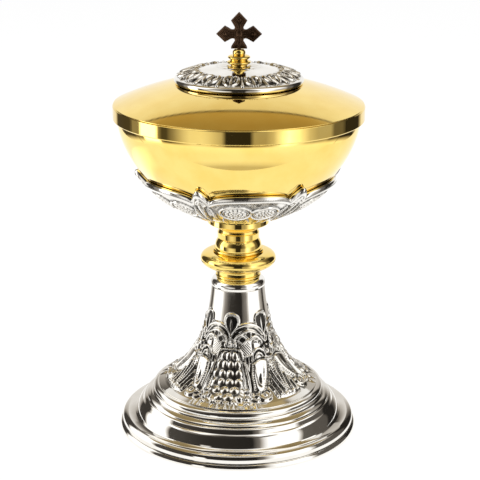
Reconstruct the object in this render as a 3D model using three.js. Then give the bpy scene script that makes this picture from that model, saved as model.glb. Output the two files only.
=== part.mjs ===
import * as THREE from 'three';

// Ciborium: a gilded bowl with a lift-off lid, on a turned stem and a hollow stepped foot.
// Millimetres, +Z up, origin on the table under the centre of the foot.
// Nearly every piece is a solid of revolution, so its outline is a half section of radius and height.

// Fits and facets
const fit = 0.3;                // clearance between pieces that are stacked, soldered or screwed
const largeSides = 32;          // facets round the foot, the bowl and the lid
const smallSides = 20;          // facets round the stem and the finial
const boltSides = 12;           // facets round rods and washers
const edgeBreak = 0.4;          // small bevel on the edges of turned pieces

// Foot: a rolled rim, a spun base of stepped mouldings and an embossed cone
const footRadius = 69.2;
const rimHeight = 2.8;
const rimWidth = 4.6;
const rimTaper = 1.8;           // how far the rim leans in towards its top
const footSheet = 1.2;
const ovoloInward = 3.0;        // each moulding of the base goes so far in and so far up, from the rim
const ovoloRise = 4.7;
const hollowInward = 4.1;
const hollowRise = 0.3;
const filletInward = 0.7;
const filletRise = 0.5;
const torusInward = 4.0;
const torusRise = 6.7;
const firstRiserInward = 0.6;
const firstRiserRise = 1.3;
const firstStepInward = 1.7;
const firstStepRise = 1.5;
const secondRiserInward = 0.2;
const secondRiserRise = 0.8;
const secondStepInward = 2.6;
const secondStepRise = 1.4;
const beadInward = 1.2;
const beadRise = 1.6;
const upperOvoloInward = 2.3;
const upperOvoloRise = 3.6;
const coneLand = 5.5;           // width of the flat ledge on which the cone stands
const coneEdge = 0.8;           // groove left between the top moulding and the cone
const coneFlangeWidth = 3.4;    // plain border round the bottom of the cone
const coneFlangeRise = 1.4;
const coneHeight = 57.4;        // from the plain border to the top of the cone
const coneTopRadius = 15.2;
const coneSides = 60;           // facets round the embossing
const coneRows = 24;            // facets up the embossed part of the side
const coneEmbossed = 0.84;      // share of the side that is embossed
const coneRelief = 2;           // height of the embossing
const archRelief = 1.3;

// Stem, from the cone up
const collarHeight = 5.1;
const collarRadius = 15.4;
const spoolHeight = 5.0;
const spoolRadius = 12.3;
const spoolBead = 0.7;
const knopRadius = 21.6;
const knopEndRadius = 13.0;
const knopUpperHeight = 4.4;
const knopLowerHeight = 5.4;
const knopCollarRadius = 14.5;
const knopCollarHeight = 1.4;
const bellHeight = 6.1;
const bellRadius = 13.3;
const bellTopRadius = 11.3;
const ringRadius = 11.9;
const ringHeight = 3.4;
const coveRadius = 10.9;
const coveHeight = 1.4;
const flangeRadius = 17.4;
const flangeHeight = 5.5;
const flangeRim = 3.2;

// Tie rod that draws foot, stem and bowl together, with its socket, washer and nut
const rodRadius = 3;
const socketRadius = 8.6;
const socketDepth = 6.2;
const socketRoof = 2;           // metal left above the blind thread
const washerRadius = 9;
const washerThickness = 1.4;
const nutAcrossFlats = 10;
const nutHeight = 5;
const rodTail = 2.5;            // rod showing below its nut

// Bowl: a surface of revolution between a hemisphere and a cone
const bowlRadius = 67.5;
const bowlDepth = 58.1;
const bowlHeightPower = 1.69;
const bowlRadiusPower = 1.825;
const bowlWall = 1.2;
const bowlFlatRadius = 13;      // flat bottom that stands on the calyx

// Calyx: an embossed and lobed shell under the bowl
const calyxSheet = 1.2;
const calyxSpread = 2.6;        // how far its lip stands off the bowl
const calyxReach = 33.3;        // from the mouth of the bowl down to the lip of the calyx
const lobeCount = 6;
const calyxBudAngle = -22.5;    // azimuth of the first bud, in degrees
const calyxBudRise = 3.4;       // how far a bud stands up over the lobes
const lobeDrop = 5.4;           // how far a lobe falls away at its sides
const calyxRelief = 1.2;
const calyxSides = 72;
const calyxRows = 10;

// Lid: band, inner bezel, dome, raised disc, finial and cross
const bandOverhang = 2.5;       // how far the band stands out beyond the mouth of the bowl
const bandHeight = 7.8;
const bandWall = 1.4;
const bandBevel = 0.5;
const bezelPlay = 1.6;          // between the bezel and the mouth of the bowl
const bezelWall = 1;
const bezelDepth = 5.5;
const domeInset = 0.3;
const domeCurve = 168;          // radius of the sphere that the dome is part of
const domeSheet = 1.2;
const discRadius = 35.9;
const discSheet = 1;
const discLift = 0.7;           // gap between the rim of the disc and the dome
const discRim = 3.1;
const discBorder = 9.1;         // width of the leaf border
const discBorderRise = 3.1;
const discField = 12;           // width of the plain field inside the border
const discFieldRise = 2.3;
const discCrownRise = 0.3;
const discSeatWidth = 3.5;

const finialBaseRadius = 4.7;
const finialRingRadius = 6.4;
const finialUpperRadius = 6.15;
const finialNeckRadius = 4.8;
const finialFillet = 0.6;
const finialRingHeight = 3.2;
const finialUpperHeight = 2.8;
const finialBallRadius = 3.4;
const finialBallHeight = 3.0;
const studRadius = 2.2;
const studGrip = 4;             // length of stud inside the finial
const studTail = 1.5;           // stud showing below its nut
const finialWasherRadius = 7;
const finialWasherThickness = 1;
const finialNutFlats = 8;
const finialNutHeight = 3;
const crossArm = 12.5;
const crossTop = 12;            // length of the upper arm
const crossCorner = 4.45;       // half width of an arm at its widest
const crossTip = 4.7;           // from the widest place to the point
const crossFootDrop = 8;
const crossFootHalf = 4.4;
const crossFootEdge = 0.9;
const crossThickness = 3;
const tangWidth = 2;
const tangLength = 2.8;

// Mouldings of the base, from the rim up. A bulge is a share of the moulding's length.
const mouldings = [
  { inward: ovoloInward, rise: ovoloRise, bulge: 0.3 },
  { inward: hollowInward, rise: hollowRise, bulge: -0.05 },
  { inward: filletInward, rise: filletRise, bulge: 0 },
  { inward: torusInward, rise: torusRise, bulge: 0.33 },
  { inward: firstRiserInward, rise: firstRiserRise, bulge: 0 },
  { inward: firstStepInward, rise: firstStepRise, bulge: 0.12 },
  { inward: secondRiserInward, rise: secondRiserRise, bulge: 0 },
  { inward: secondStepInward, rise: secondStepRise, bulge: 0.06 },
  { inward: beadInward, rise: beadRise, bulge: 0.15 },
  { inward: upperOvoloInward, rise: upperOvoloRise, bulge: 0.25 },
];

// Six buds stand round the top of the cone's embossing, set out by hand. These are their azimuths in degrees.
const coneBudAngles = [-63, -12.5, 47, 110, 172, 235];

// Raised forms of the cone. Under every second bud hangs a bunch of grapes, and under the others a sheaf.
// Angles are degrees to both sides of a bunch's middle, if the buds stood evenly. Heights up the side and
// half lengths are shares of the side, and the relief is a share of the full one.
const coneForms = [
  { name: 'grapes', angle: 0, up: 0.29, halfAngle: 15.5, halfLength: 0.25, relief: 1 },
  { name: 'leaf', angle: 39, up: 0.3, halfAngle: 12.5, halfLength: 0.14, relief: 0.95 },
  { name: 'side leaf', angle: 23, up: 0.27, halfAngle: 3.5, halfLength: 0.13, relief: 0.7 },
  { name: 'curl', angle: 43, up: 0.46, halfAngle: 9.5, halfLength: 0.07, relief: 0.7 },
  { name: 'upper leaf', angle: 42, up: 0.57, halfAngle: 8, halfLength: 0.04, relief: 0.4 },
  { name: 'sheaf', angle: 57, up: 0.23, halfAngle: 10.5, halfLength: 0.15, relief: 0.85 },
  { name: 'volute', angle: 60, up: 0.49, halfAngle: 5.5, halfLength: 0.05, relief: 0.85 },
  { name: 'bud over grapes', angle: 0, up: 0.73, halfAngle: 13, halfLength: 0.088, relief: 0.5 },
  { name: 'bud over sheaf', angle: 60, up: 0.73, halfAngle: 13, halfLength: 0.088, relief: 0.5 },
];
const archUp = { foot: 0.635, crown: 0.737, halfWidth: 0.024 };   // line of the arches between the buds

// Raised forms of the calyx, in degrees from a bud and shares of the height of the lip
const calyxForms = [
  { name: 'left medallion', angle: 20.6, up: 0.65, halfAngle: 11.5, halfLength: 0.24, relief: 1 },
  { name: 'right medallion', angle: 41, up: 0.59, halfAngle: 10.5, halfLength: 0.23, relief: 1 },
  { name: 'stem of the bud', angle: 0, up: 0.62, halfAngle: 4.5, halfLength: 0.34, relief: 1 },
  { name: 'stem of the next bud', angle: 60, up: 0.62, halfAngle: 4.5, halfLength: 0.34, relief: 1 },
];

// Heights and radii that follow from the sizes above
const baseBottom = rimHeight + fit;
const baseOuter = footRadius - rimTaper;
const baseInward = mouldings.reduce((sum, moulding) => sum + moulding.inward, 0);
const baseTop = baseBottom + mouldings.reduce((sum, moulding) => sum + moulding.rise, 0);
const landRadius = baseOuter - baseInward - coneEdge;
const coneBottom = baseTop + fit;
const coneRadius = landRadius - coneFlangeWidth;
const coneTop = coneBottom + coneFlangeRise + coneHeight;
const collarBottom = coneTop + fit;
const spoolBottom = collarBottom + collarHeight + fit;
const knopBottom = spoolBottom + spoolHeight + fit;
const knopMiddle = knopBottom + knopLowerHeight;
const knopCollarBottom = knopMiddle + knopUpperHeight + fit;
const bellBottom = knopCollarBottom + knopCollarHeight + fit;
const ringBottom = bellBottom + bellHeight + fit;
const flangeBottom = ringBottom + ringHeight + coveHeight + fit;
const flangeTop = flangeBottom + flangeHeight;
const calyxBottom = flangeTop + fit;
const rodBore = rodRadius + fit;

const bowlFlatShare = bowlFlatRadius / bowlRadius;
const bowlFlatDepth = (1 - bowlFlatShare ** bowlRadiusPower) ** (1 / bowlHeightPower);
const bowlMouth = calyxBottom + (bowlDepth + fit + calyxSheet) * bowlFlatDepth;
const bowlBottom = bowlMouth - bowlDepth * bowlFlatDepth;
const socketTop = bowlBottom - fit;
const socketBottom = socketTop - socketDepth;

const bandRadius = bowlRadius + bandOverhang;
const bandBottom = bowlMouth + fit;
const bandTop = bandBottom + bandHeight;
const bezelRadius = bowlRadius - bowlWall - bezelPlay;
const domeBottom = bandTop + fit;
const domeRadius = bandRadius - domeInset;
const domeCentre = domeBottom - Math.sqrt(domeCurve ** 2 - domeRadius ** 2);
const discBottom = domeHeight(discRadius) + discLift;
const discTop = discBottom + discRim + discBorderRise + discFieldRise + discCrownRise;
const discBorderRadius = discRadius - 1.5 * discSheet;
const discFieldRadius = discBorderRadius - discBorder;
const discCrownRadius = discFieldRadius - discField;
const finialBottom = discTop + fit;
const finialTop = finialBottom + finialRingHeight + finialUpperHeight + finialBallHeight;
const studBore = studRadius + fit;
const tangBore = Math.hypot(tangWidth, crossThickness) / 2 + fit;
const crossCentre = finialTop + fit + crossFootDrop;

const silver = { color: 0xd8d6d2, metalness: 1, roughness: 0.16 };
const gold = { color: 0xe6bd55, metalness: 1, roughness: 0.12 };
const bronze = { color: 0x2b1f1a, metalness: 0.6, roughness: 0.5 };
const brass = { color: 0xb8995a, metalness: 1, roughness: 0.35 };
const steel = { color: 0x9c9c9a, metalness: 1, roughness: 0.4 };

// Height of the outside of the lid's dome at a radius
function domeHeight(radius) {
  return domeCentre + Math.sqrt(domeCurve ** 2 - radius ** 2);
}

function piece(name, geometry, finish) {
  const mesh = new THREE.Mesh(geometry, new THREE.MeshStandardMaterial(finish));
  mesh.name = name;
  return mesh;
}

// Revolves a half section about the vertical axis. The section runs up its outside and down its inside.
function revolve(section, sides, curveSteps = 4) {
  return lathe(section.getPoints(curveSteps), sides);
}

// Revolves points, with the first column of facets at an azimuth in degrees
function lathe(points, sides, start = 0) {
  return new THREE.LatheGeometry(points, sides, THREE.MathUtils.degToRad(start)).rotateX(Math.PI / 2);
}

// Raises rows of a lathe along the section's normal, from the first row on, one for each share of the way up.
// relief gives the height at an azimuth in degrees and a share.
function emboss(geometry, points, firstRow, shares, relief) {
  const place = geometry.attributes.position;
  for (let index = 0; index < place.count; index += 1) {
    const row = index % points.length;
    const share = shares[row - firstRow];
    if (share === undefined) continue;
    const azimuth = Math.atan2(place.getX(index), -place.getY(index));
    const along = points[row + 1].clone().sub(points[row - 1]).normalize();
    const lift = relief(THREE.MathUtils.radToDeg(azimuth), share);
    const radius = points[row].x + lift * along.y;
    const height = points[row].y - lift * along.x;
    place.setXYZ(index, radius * Math.sin(azimuth), -radius * Math.cos(azimuth), height);
  }
}

// Height of the tallest of several rounded forms at an angle and a share of the way up
function tallest(forms, angle, share) {
  let height = 0;
  for (const form of forms) {
    const across = (angle - form.angle) / form.halfAngle;
    const along = (share - form.up) / form.halfLength;
    const rest = Math.max(0, 1 - across ** 2 - along ** 2);
    height = Math.max(height, form.relief * rest ** 0.65);
  }
  return height;
}

// Carries a section on to a point, bulging outwards by a share of the distance.
function bulgeTo(section, radius, height, bulge) {
  const from = section.currentPoint;
  const across = radius - from.x;
  const up = height - from.y;
  const middleRadius = (from.x + radius) / 2 + 2 * bulge * up;
  const middleHeight = (from.y + height) / 2 - 2 * bulge * across;
  section.quadraticCurveTo(middleRadius, middleHeight, radius, height);
}

function ring(outer, inner, bottom, top, sides) {
  const section = new THREE.Path();
  section.moveTo(inner, bottom);
  section.lineTo(outer, bottom);
  section.lineTo(outer, top);
  section.lineTo(inner, top);
  section.lineTo(inner, bottom);
  return revolve(section, sides);
}

// Rolled ring soldered under the edge of the base. It is what the ciborium stands on.
function footRim() {
  const section = new THREE.Path();
  section.moveTo(footRadius - rimWidth, 0);
  section.lineTo(footRadius, 0);
  section.lineTo(footRadius, rimHeight * 0.3);
  bulgeTo(section, baseOuter, rimHeight, 0.15);
  section.lineTo(footRadius - rimWidth, rimHeight);
  section.lineTo(footRadius - rimWidth, 0);
  return piece('foot_rim', revolve(section, largeSides), silver);
}

// Spun base. Its inside is the same line of mouldings, moved in and down by the sheet's thickness.
function footBase() {
  const shift = 0.8 * footSheet;
  const section = new THREE.Path();
  section.moveTo(baseOuter - shift, baseBottom);
  section.lineTo(baseOuter, baseBottom);
  const stations = [];
  let radius = baseOuter;
  let height = baseBottom;
  for (const moulding of mouldings) {
    radius -= moulding.inward;
    height += moulding.rise;
    stations.push({ radius, height });
    if (moulding.bulge === 0) {
      section.lineTo(radius, height);
    } else {
      bulgeTo(section, radius, height, moulding.bulge);
    }
  }
  const landInner = landRadius - coneLand;
  section.lineTo(landInner, baseTop);
  section.lineTo(landInner, baseTop - footSheet);
  for (const station of stations.reverse()) {
    section.lineTo(station.radius - shift, station.height - footSheet);
  }
  section.lineTo(baseOuter - shift, baseBottom);
  return piece('foot_base', revolve(section, largeSides, 3), silver);
}

// Flaring cone with a plain border at the bottom and a closed top, bored for the tie rod
function footCone() {
  const shoulder = coneBottom + coneFlangeRise;
  const innerRadius = coneRadius - footSheet;
  const outside = flare(coneRadius, shoulder, coneTopRadius, coneTop);
  const inside = flare(innerRadius, coneBottom, coneTopRadius - footSheet, coneTop - footSheet);
  const shares = [];
  for (let row = 0; row <= coneRows; row += 1) {
    shares.push(coneEmbossed * row / coneRows);
  }
  shares.push((1 + coneEmbossed) / 2, 1);
  const border = [
    new THREE.Vector2(innerRadius, coneBottom),
    new THREE.Vector2(landRadius, coneBottom),
    new THREE.Vector2(landRadius, coneBottom + 0.3 * coneFlangeRise),
  ];
  const points = [
    ...border,
    ...shares.map((share) => outside.getPointAt(share)),
    new THREE.Vector2(rodBore, coneTop),
    new THREE.Vector2(rodBore, coneTop - footSheet),
    ...inside.getPoints(8).reverse(),
  ];
  const geometry = lathe(points, coneSides);
  emboss(geometry, points, border.length, shares, coneLift);
  return piece('foot_cone', geometry, silver);
}

// The cone's flare: spreading like a trumpet at the bottom, and nearly upright at its narrow top end
function flare(bottomRadius, bottomHeight, topRadius, topHeight) {
  const spread = bottomRadius - topRadius;
  const drop = topHeight - bottomHeight;
  return new THREE.CubicBezierCurve(
    new THREE.Vector2(bottomRadius, bottomHeight),
    new THREE.Vector2(topRadius + 0.22 * spread, bottomHeight + 0.16 * drop),
    new THREE.Vector2(topRadius + 0.06 * spread, topHeight - 0.31 * drop),
    new THREE.Vector2(topRadius, topHeight),
  );
}

// Height of the cone's embossing at an azimuth and a share of the way up its side
function coneLift(azimuth, share) {
  const first = coneBudAngles[0];
  const degrees = first + THREE.MathUtils.euclideanModulo(azimuth - first, 360);
  const index = coneBudAngles.findLastIndex((angle) => angle <= degrees);
  const next = coneBudAngles[index + 1] ?? first + 360;
  const gap = (degrees - coneBudAngles[index]) / (next - coneBudAngles[index]);
  const spacing = 360 / coneBudAngles.length;
  const fromBud = spacing * Math.min(gap, 1 - gap);
  const hasGrapes = index % 2 === (gap < 0.5 ? 1 : 0);
  const angle = hasGrapes ? fromBud : spacing - fromBud;
  const crown = Math.sin(Math.PI * gap) ** 0.8;
  const arch = (share - archUp.foot - (archUp.crown - archUp.foot) * crown) / archUp.halfWidth;
  const archLift = archRelief * Math.sqrt(Math.max(0, 1 - arch ** 2));
  return Math.max(archLift, coneRelief * tallest(coneForms, angle, share));
}

// Half-round silver collar that caps the cone
function coneCollar() {
  const section = new THREE.Path();
  section.moveTo(rodBore, collarBottom);
  section.lineTo(collarRadius - edgeBreak, collarBottom);
  section.lineTo(collarRadius, collarBottom + 0.2 * collarHeight);
  bulgeTo(section, spoolRadius + edgeBreak, collarBottom + collarHeight, 0.2);
  section.lineTo(rodBore, collarBottom + collarHeight);
  section.lineTo(rodBore, collarBottom);
  return piece('cone_collar', revolve(section, smallSides), silver);
}

// Gilded spool with a bead at its foot
function stemSpool() {
  const top = spoolBottom + spoolHeight;
  const bead = spoolBottom + 0.36 * spoolHeight;
  const section = new THREE.Path();
  section.moveTo(rodBore, spoolBottom);
  section.lineTo(spoolRadius, spoolBottom);
  bulgeTo(section, spoolRadius, bead, spoolBead / (bead - spoolBottom));
  section.lineTo(spoolRadius, bead + 0.36 * spoolHeight);
  bulgeTo(section, spoolRadius + spoolBead, top, -0.1);
  section.lineTo(rodBore, top);
  section.lineTo(rodBore, spoolBottom);
  return piece('stem_spool', revolve(section, smallSides), gold);
}

// Knop: a flattened bead with a fuller, flatter upper side
function knop() {
  const reach = knopRadius - knopEndRadius;
  const bottom = knopBottom;
  const top = knopMiddle + knopUpperHeight;
  const section = new THREE.Path();
  section.moveTo(rodBore, bottom);
  section.lineTo(knopEndRadius, bottom);
  section.bezierCurveTo(
    knopEndRadius + 0.5 * reach, bottom,
    knopRadius, knopMiddle - 0.5 * knopLowerHeight,
    knopRadius, knopMiddle,
  );
  section.bezierCurveTo(
    knopRadius, knopMiddle + 0.68 * knopUpperHeight,
    knopEndRadius + 0.68 * reach, top,
    knopEndRadius, top,
  );
  section.lineTo(rodBore, top);
  section.lineTo(rodBore, bottom);
  return piece('knop', revolve(section, smallSides, 6), gold);
}

function knopCollar() {
  const top = knopCollarBottom + knopCollarHeight;
  const section = new THREE.Path();
  section.moveTo(rodBore, knopCollarBottom);
  section.lineTo(knopCollarRadius - edgeBreak, knopCollarBottom);
  section.lineTo(knopCollarRadius, knopCollarBottom + 0.5 * knopCollarHeight);
  section.lineTo(knopCollarRadius - edgeBreak, top);
  section.lineTo(rodBore, top);
  section.lineTo(rodBore, knopCollarBottom);
  return piece('knop_collar', revolve(section, smallSides), gold);
}

// Bell-shaped neck above the knop
function stemBell() {
  const section = new THREE.Path();
  section.moveTo(rodBore, bellBottom);
  section.lineTo(bellRadius, bellBottom);
  bulgeTo(section, bellTopRadius, bellBottom + bellHeight, 0.1);
  section.lineTo(rodBore, bellBottom + bellHeight);
  section.lineTo(rodBore, bellBottom);
  return piece('stem_bell', revolve(section, smallSides), gold);
}

// Plain ring with a cove turned above it
function stemRing() {
  const coveBottom = ringBottom + ringHeight;
  const top = coveBottom + coveHeight;
  const section = new THREE.Path();
  section.moveTo(rodBore, ringBottom);
  section.lineTo(ringRadius, ringBottom);
  section.lineTo(ringRadius, coveBottom - edgeBreak);
  section.lineTo(ringRadius - edgeBreak, coveBottom);
  section.lineTo(coveRadius, top);
  section.lineTo(rodBore, top);
  section.lineTo(rodBore, ringBottom);
  return piece('stem_ring', revolve(section, smallSides), gold);
}

// Saucer-shaped flange under the calyx, bored out for the bowl's socket
function cupFlange() {
  const bore = socketRadius + fit;
  const rimBottom = flangeTop + calyxRimRise() - flangeRim;
  const section = new THREE.Path();
  section.moveTo(bore, flangeBottom);
  section.lineTo(coveRadius, flangeBottom);
  bulgeTo(section, flangeRadius - edgeBreak, rimBottom, -0.16);
  section.lineTo(flangeRadius, rimBottom + edgeBreak);
  section.lineTo(flangeRadius - 0.5 * edgeBreak, flangeTop + calyxRimRise());
  section.lineTo(calyxFlatRadius() - fit, flangeTop);
  section.lineTo(bore, flangeTop);
  section.lineTo(bore, flangeBottom);
  return piece('cup_flange', revolve(section, smallSides), gold);
}

// Radius of the flat bottom of the calyx, outside
function calyxFlatRadius() {
  return (bowlRadius + calyxSpread + calyxSheet) * bowlFlatShare;
}

// How far the calyx has risen above its flat bottom at the flange's edge, less half a clearance
function calyxRimRise() {
  const share = flangeRadius / (bowlRadius + calyxSpread + calyxSheet);
  const depth = (1 - share ** bowlRadiusPower) ** (1 / bowlHeightPower);
  return (bowlDepth + fit + calyxSheet) * (bowlFlatDepth - depth) - 0.5 * fit;
}

function tieRod() {
  const top = socketTop - socketRoof - fit;
  const bottom = coneTop - footSheet - washerThickness - nutHeight - 2 * fit - rodTail;
  const geometry = new THREE.CylinderGeometry(rodRadius, rodRadius, top - bottom, boltSides);
  geometry.rotateX(Math.PI / 2);
  geometry.translate(0, 0, (top + bottom) / 2);
  return piece('tie_rod', geometry, steel);
}

function rodWasher() {
  const top = coneTop - footSheet - fit;
  return piece('rod_washer', ring(washerRadius, rodBore, top - washerThickness, top, boltSides), steel);
}

// Six-sided nut with a round bore, standing on its lower face
function hexNut(name, acrossFlats, boreRadius, height, bottom) {
  const corner = acrossFlats / Math.sqrt(3);
  const outline = new THREE.Shape();
  for (let side = 0; side < 6; side += 1) {
    const angle = side * Math.PI / 3;
    const x = corner * Math.cos(angle);
    const y = corner * Math.sin(angle);
    if (side === 0) outline.moveTo(x, y);
    else outline.lineTo(x, y);
  }
  outline.closePath();
  const bore = new THREE.Path();
  bore.absarc(0, 0, boreRadius, 0, 2 * Math.PI, true);
  outline.holes.push(bore);
  const options = { depth: height, bevelEnabled: false, curveSegments: boltSides };
  const geometry = new THREE.ExtrudeGeometry(outline, options);
  geometry.translate(0, 0, bottom);
  return piece(name, geometry, brass);
}

function rodNut() {
  const bottom = coneTop - footSheet - washerThickness - nutHeight - 2 * fit;
  return hexNut('rod_nut', nutAcrossFlats, rodBore, nutHeight, bottom);
}

// Threaded socket soldered under the bowl, closed at its top
function bowlSocket() {
  const roof = socketTop - socketRoof;
  const section = new THREE.Path();
  section.moveTo(0, roof);
  section.lineTo(rodBore, roof);
  section.lineTo(rodBore, socketBottom);
  section.lineTo(socketRadius, socketBottom);
  section.lineTo(socketRadius, socketTop);
  section.lineTo(0, socketTop);
  return piece('bowl_socket', revolve(section, smallSides), brass);
}

// Points down the side of a bowl-like shell, from a depth below the mouth to the edge of its flat bottom
function bowlCurve(radius, depth, startDepth, steps) {
  const start = Math.asin((startDepth / depth) ** (bowlHeightPower / 2));
  const end = Math.acos(bowlFlatShare ** (bowlRadiusPower / 2));
  const points = [];
  for (let step = 0; step <= steps; step += 1) {
    const angle = start + (end - start) * step / steps;
    const across = radius * Math.cos(angle) ** (2 / bowlRadiusPower);
    const down = depth * Math.sin(angle) ** (2 / bowlHeightPower);
    points.push(new THREE.Vector2(across, bowlMouth - down));
  }
  return points;
}

function bowl() {
  const outside = bowlCurve(bowlRadius, bowlDepth, 0, 10).reverse();
  const inside = bowlCurve(bowlRadius - bowlWall, bowlDepth - bowlWall, 0, 7);
  const section = new THREE.Path();
  section.moveTo(0, bowlBottom);
  for (const point of [...outside, ...inside]) {
    section.lineTo(point.x, point.y);
  }
  section.lineTo(0, inside[inside.length - 1].y);
  return piece('bowl', revolve(section, largeSides), gold);
}

// Calyx: a bowl-like shell whose lip is scalloped into lobes, with a bud between each two
function calyx() {
  const outerRadius = bowlRadius + calyxSpread + calyxSheet;
  const outside = bowlCurve(outerRadius, bowlDepth + fit + calyxSheet, calyxReach, calyxRows).reverse();
  const inside = bowlCurve(bowlRadius + calyxSpread, bowlDepth + fit, calyxReach, 3);
  const bottom = outside[0].y;
  const lip = bowlMouth - calyxReach;
  const hole = socketRadius + fit;
  const points = [
    new THREE.Vector2(hole, bottom),
    ...outside,
    ...inside,
    new THREE.Vector2(hole, inside[inside.length - 1].y),
    new THREE.Vector2(hole, bottom),
  ];
  const geometry = lathe(points, calyxSides, calyxBudAngle);
  const shares = outside.map((point) => (point.y - bottom) / (lip - bottom));
  emboss(geometry, points, 1, shares, calyxLift);
  scallop(geometry, bottom, lip);
  return piece('calyx', geometry, silver);
}

// Degrees past the nearest bud on one side of an azimuth, from 0 to 60
function pastBud(azimuth) {
  return THREE.MathUtils.euclideanModulo(azimuth - calyxBudAngle, 360 / lobeCount);
}

function calyxLift(azimuth, share) {
  return calyxRelief * tallest(calyxForms, pastBud(azimuth), share);
}

// How far the lip stands over or under its mean height: a broad rounded lobe, and a narrow pointed bud
function lipRise(azimuth) {
  const lobe = 360 / lobeCount;
  const angle = pastBud(azimuth);
  const fromLobe = Math.abs(angle - lobe / 2) / (0.44 * lobe);
  const fromBud = Math.min(angle, lobe - angle) / (0.1 * lobe);
  const lobeRise = -lobeDrop * (1 - Math.sqrt(Math.max(0, 1 - fromLobe ** 2.8)));
  const budShare = Math.max(0, 1 - fromBud ** 1.7) ** 0.8;
  return Math.max(lobeRise, (calyxBudRise + lobeDrop) * budShare - lobeDrop);
}

// Lowers or raises the lip by azimuth, sliding each point along the bowl's own curve
function scallop(geometry, bottom, lip) {
  const place = geometry.attributes.position;
  for (let index = 0; index < place.count; index += 1) {
    const x = place.getX(index);
    const y = place.getY(index);
    const z = place.getZ(index);
    const azimuth = THREE.MathUtils.radToDeg(Math.atan2(x, -y));
    const share = (z - bottom) / (lip - bottom);
    const lifted = z + lipRise(azimuth) * share ** 2;
    const scale = 1 + (bowlOutline(lifted) - bowlOutline(z)) / Math.hypot(x, y);
    place.setXYZ(index, x * scale, y * scale, lifted);
  }
}

// Radius of the outside of the bowl at a height
function bowlOutline(height) {
  const share = (bowlMouth - height) / bowlDepth;
  return bowlRadius * Math.max(0, 1 - share ** bowlHeightPower) ** (1 / bowlRadiusPower);
}

// Band round the lid, with a ledge at its foot that rests on the mouth of the bowl
function lidBand() {
  const inner = bandRadius - bandWall;
  const ledge = bezelRadius + fit;
  const section = new THREE.Path();
  section.moveTo(ledge, bandBottom);
  section.lineTo(bandRadius - bandBevel, bandBottom);
  section.lineTo(bandRadius, bandBottom + bandBevel);
  section.lineTo(bandRadius, bandTop - bandBevel);
  section.lineTo(bandRadius - bandBevel, bandTop);
  section.lineTo(inner, bandTop);
  section.lineTo(inner, bandBottom + bandWall);
  section.lineTo(ledge, bandBottom + bandWall);
  section.lineTo(ledge, bandBottom);
  return piece('lid_band', revolve(section, largeSides), gold);
}

// Bezel that drops into the mouth of the bowl and centres the lid
function lidBezel() {
  const bottom = bowlMouth - bezelDepth;
  const top = bandBottom + bandWall;
  return piece('lid_bezel', ring(bezelRadius, bezelRadius - bezelWall, bottom, top, largeSides), gold);
}

// Dome of the lid: a shallow cap of a sphere, bored for the finial's stud
function lidDome() {
  const section = new THREE.Path();
  const innerCurve = domeCurve - domeSheet;
  const innerEdge = Math.asin((domeBottom - domeCentre) / innerCurve);
  const outerEdge = Math.asin((domeBottom - domeCentre) / domeCurve);
  section.moveTo(innerCurve * Math.cos(innerEdge), domeBottom);
  section.lineTo(domeRadius, domeBottom);
  section.absarc(0, domeCentre, domeCurve, outerEdge, Math.acos(studBore / domeCurve), false);
  section.absarc(0, domeCentre, innerCurve, Math.acos(studBore / innerCurve), innerEdge, true);
  return piece('lid_dome', revolve(section, largeSides, 3), gold);
}

// Stations of the disc's outside, from the leaf border's outer edge to the finial's stud
function discStations() {
  const borderHeight = discBottom + discRim;
  const fieldHeight = borderHeight + discBorderRise;
  const crownHeight = fieldHeight + discFieldRise;
  return [
    new THREE.Vector2(discBorderRadius, borderHeight),
    new THREE.Vector2(discFieldRadius, fieldHeight),
    new THREE.Vector2(discCrownRadius, crownHeight),
    new THREE.Vector2(studBore, discTop),
  ];
}

// Silver disc: a shallow pressing with a rolled rim that turns down round its seat
function lidDisc() {
  const stations = discStations();
  const section = new THREE.Path();
  section.moveTo(discRadius - discSheet, discBottom);
  section.lineTo(discRadius - 0.3 * discSheet, discBottom);
  section.lineTo(discRadius, discBottom + 0.25 * discRim);
  bulgeTo(section, discBorderRadius, discBottom + discRim, 0.22);
  for (const station of stations.slice(1)) {
    section.lineTo(station.x, station.y);
  }
  for (const station of stations.reverse()) {
    section.lineTo(Math.min(station.x, discRadius - 1.5 * discSheet), station.y - discSheet);
  }
  section.lineTo(discRadius - discSheet, discBottom);
  return piece('lid_disc', revolve(section, largeSides), silver);
}

// Wedge-shaped ring between the dome and the disc
function discSeat() {
  const [border, field] = discStations();
  const slope = (field.y - border.y) / (border.x - field.x);
  const outer = border.x - fit;
  const inner = outer - discSeatWidth;
  const under = (radius) => border.y + (border.x - radius) * slope - discSheet - fit;
  const section = new THREE.Path();
  section.moveTo(inner, domeHeight(inner) + fit);
  section.lineTo(outer, domeHeight(outer) + fit);
  section.lineTo(outer, under(outer));
  section.lineTo(inner, under(inner));
  section.lineTo(inner, domeHeight(inner) + fit);
  return piece('disc_seat', revolve(section, largeSides), gold);
}

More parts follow.
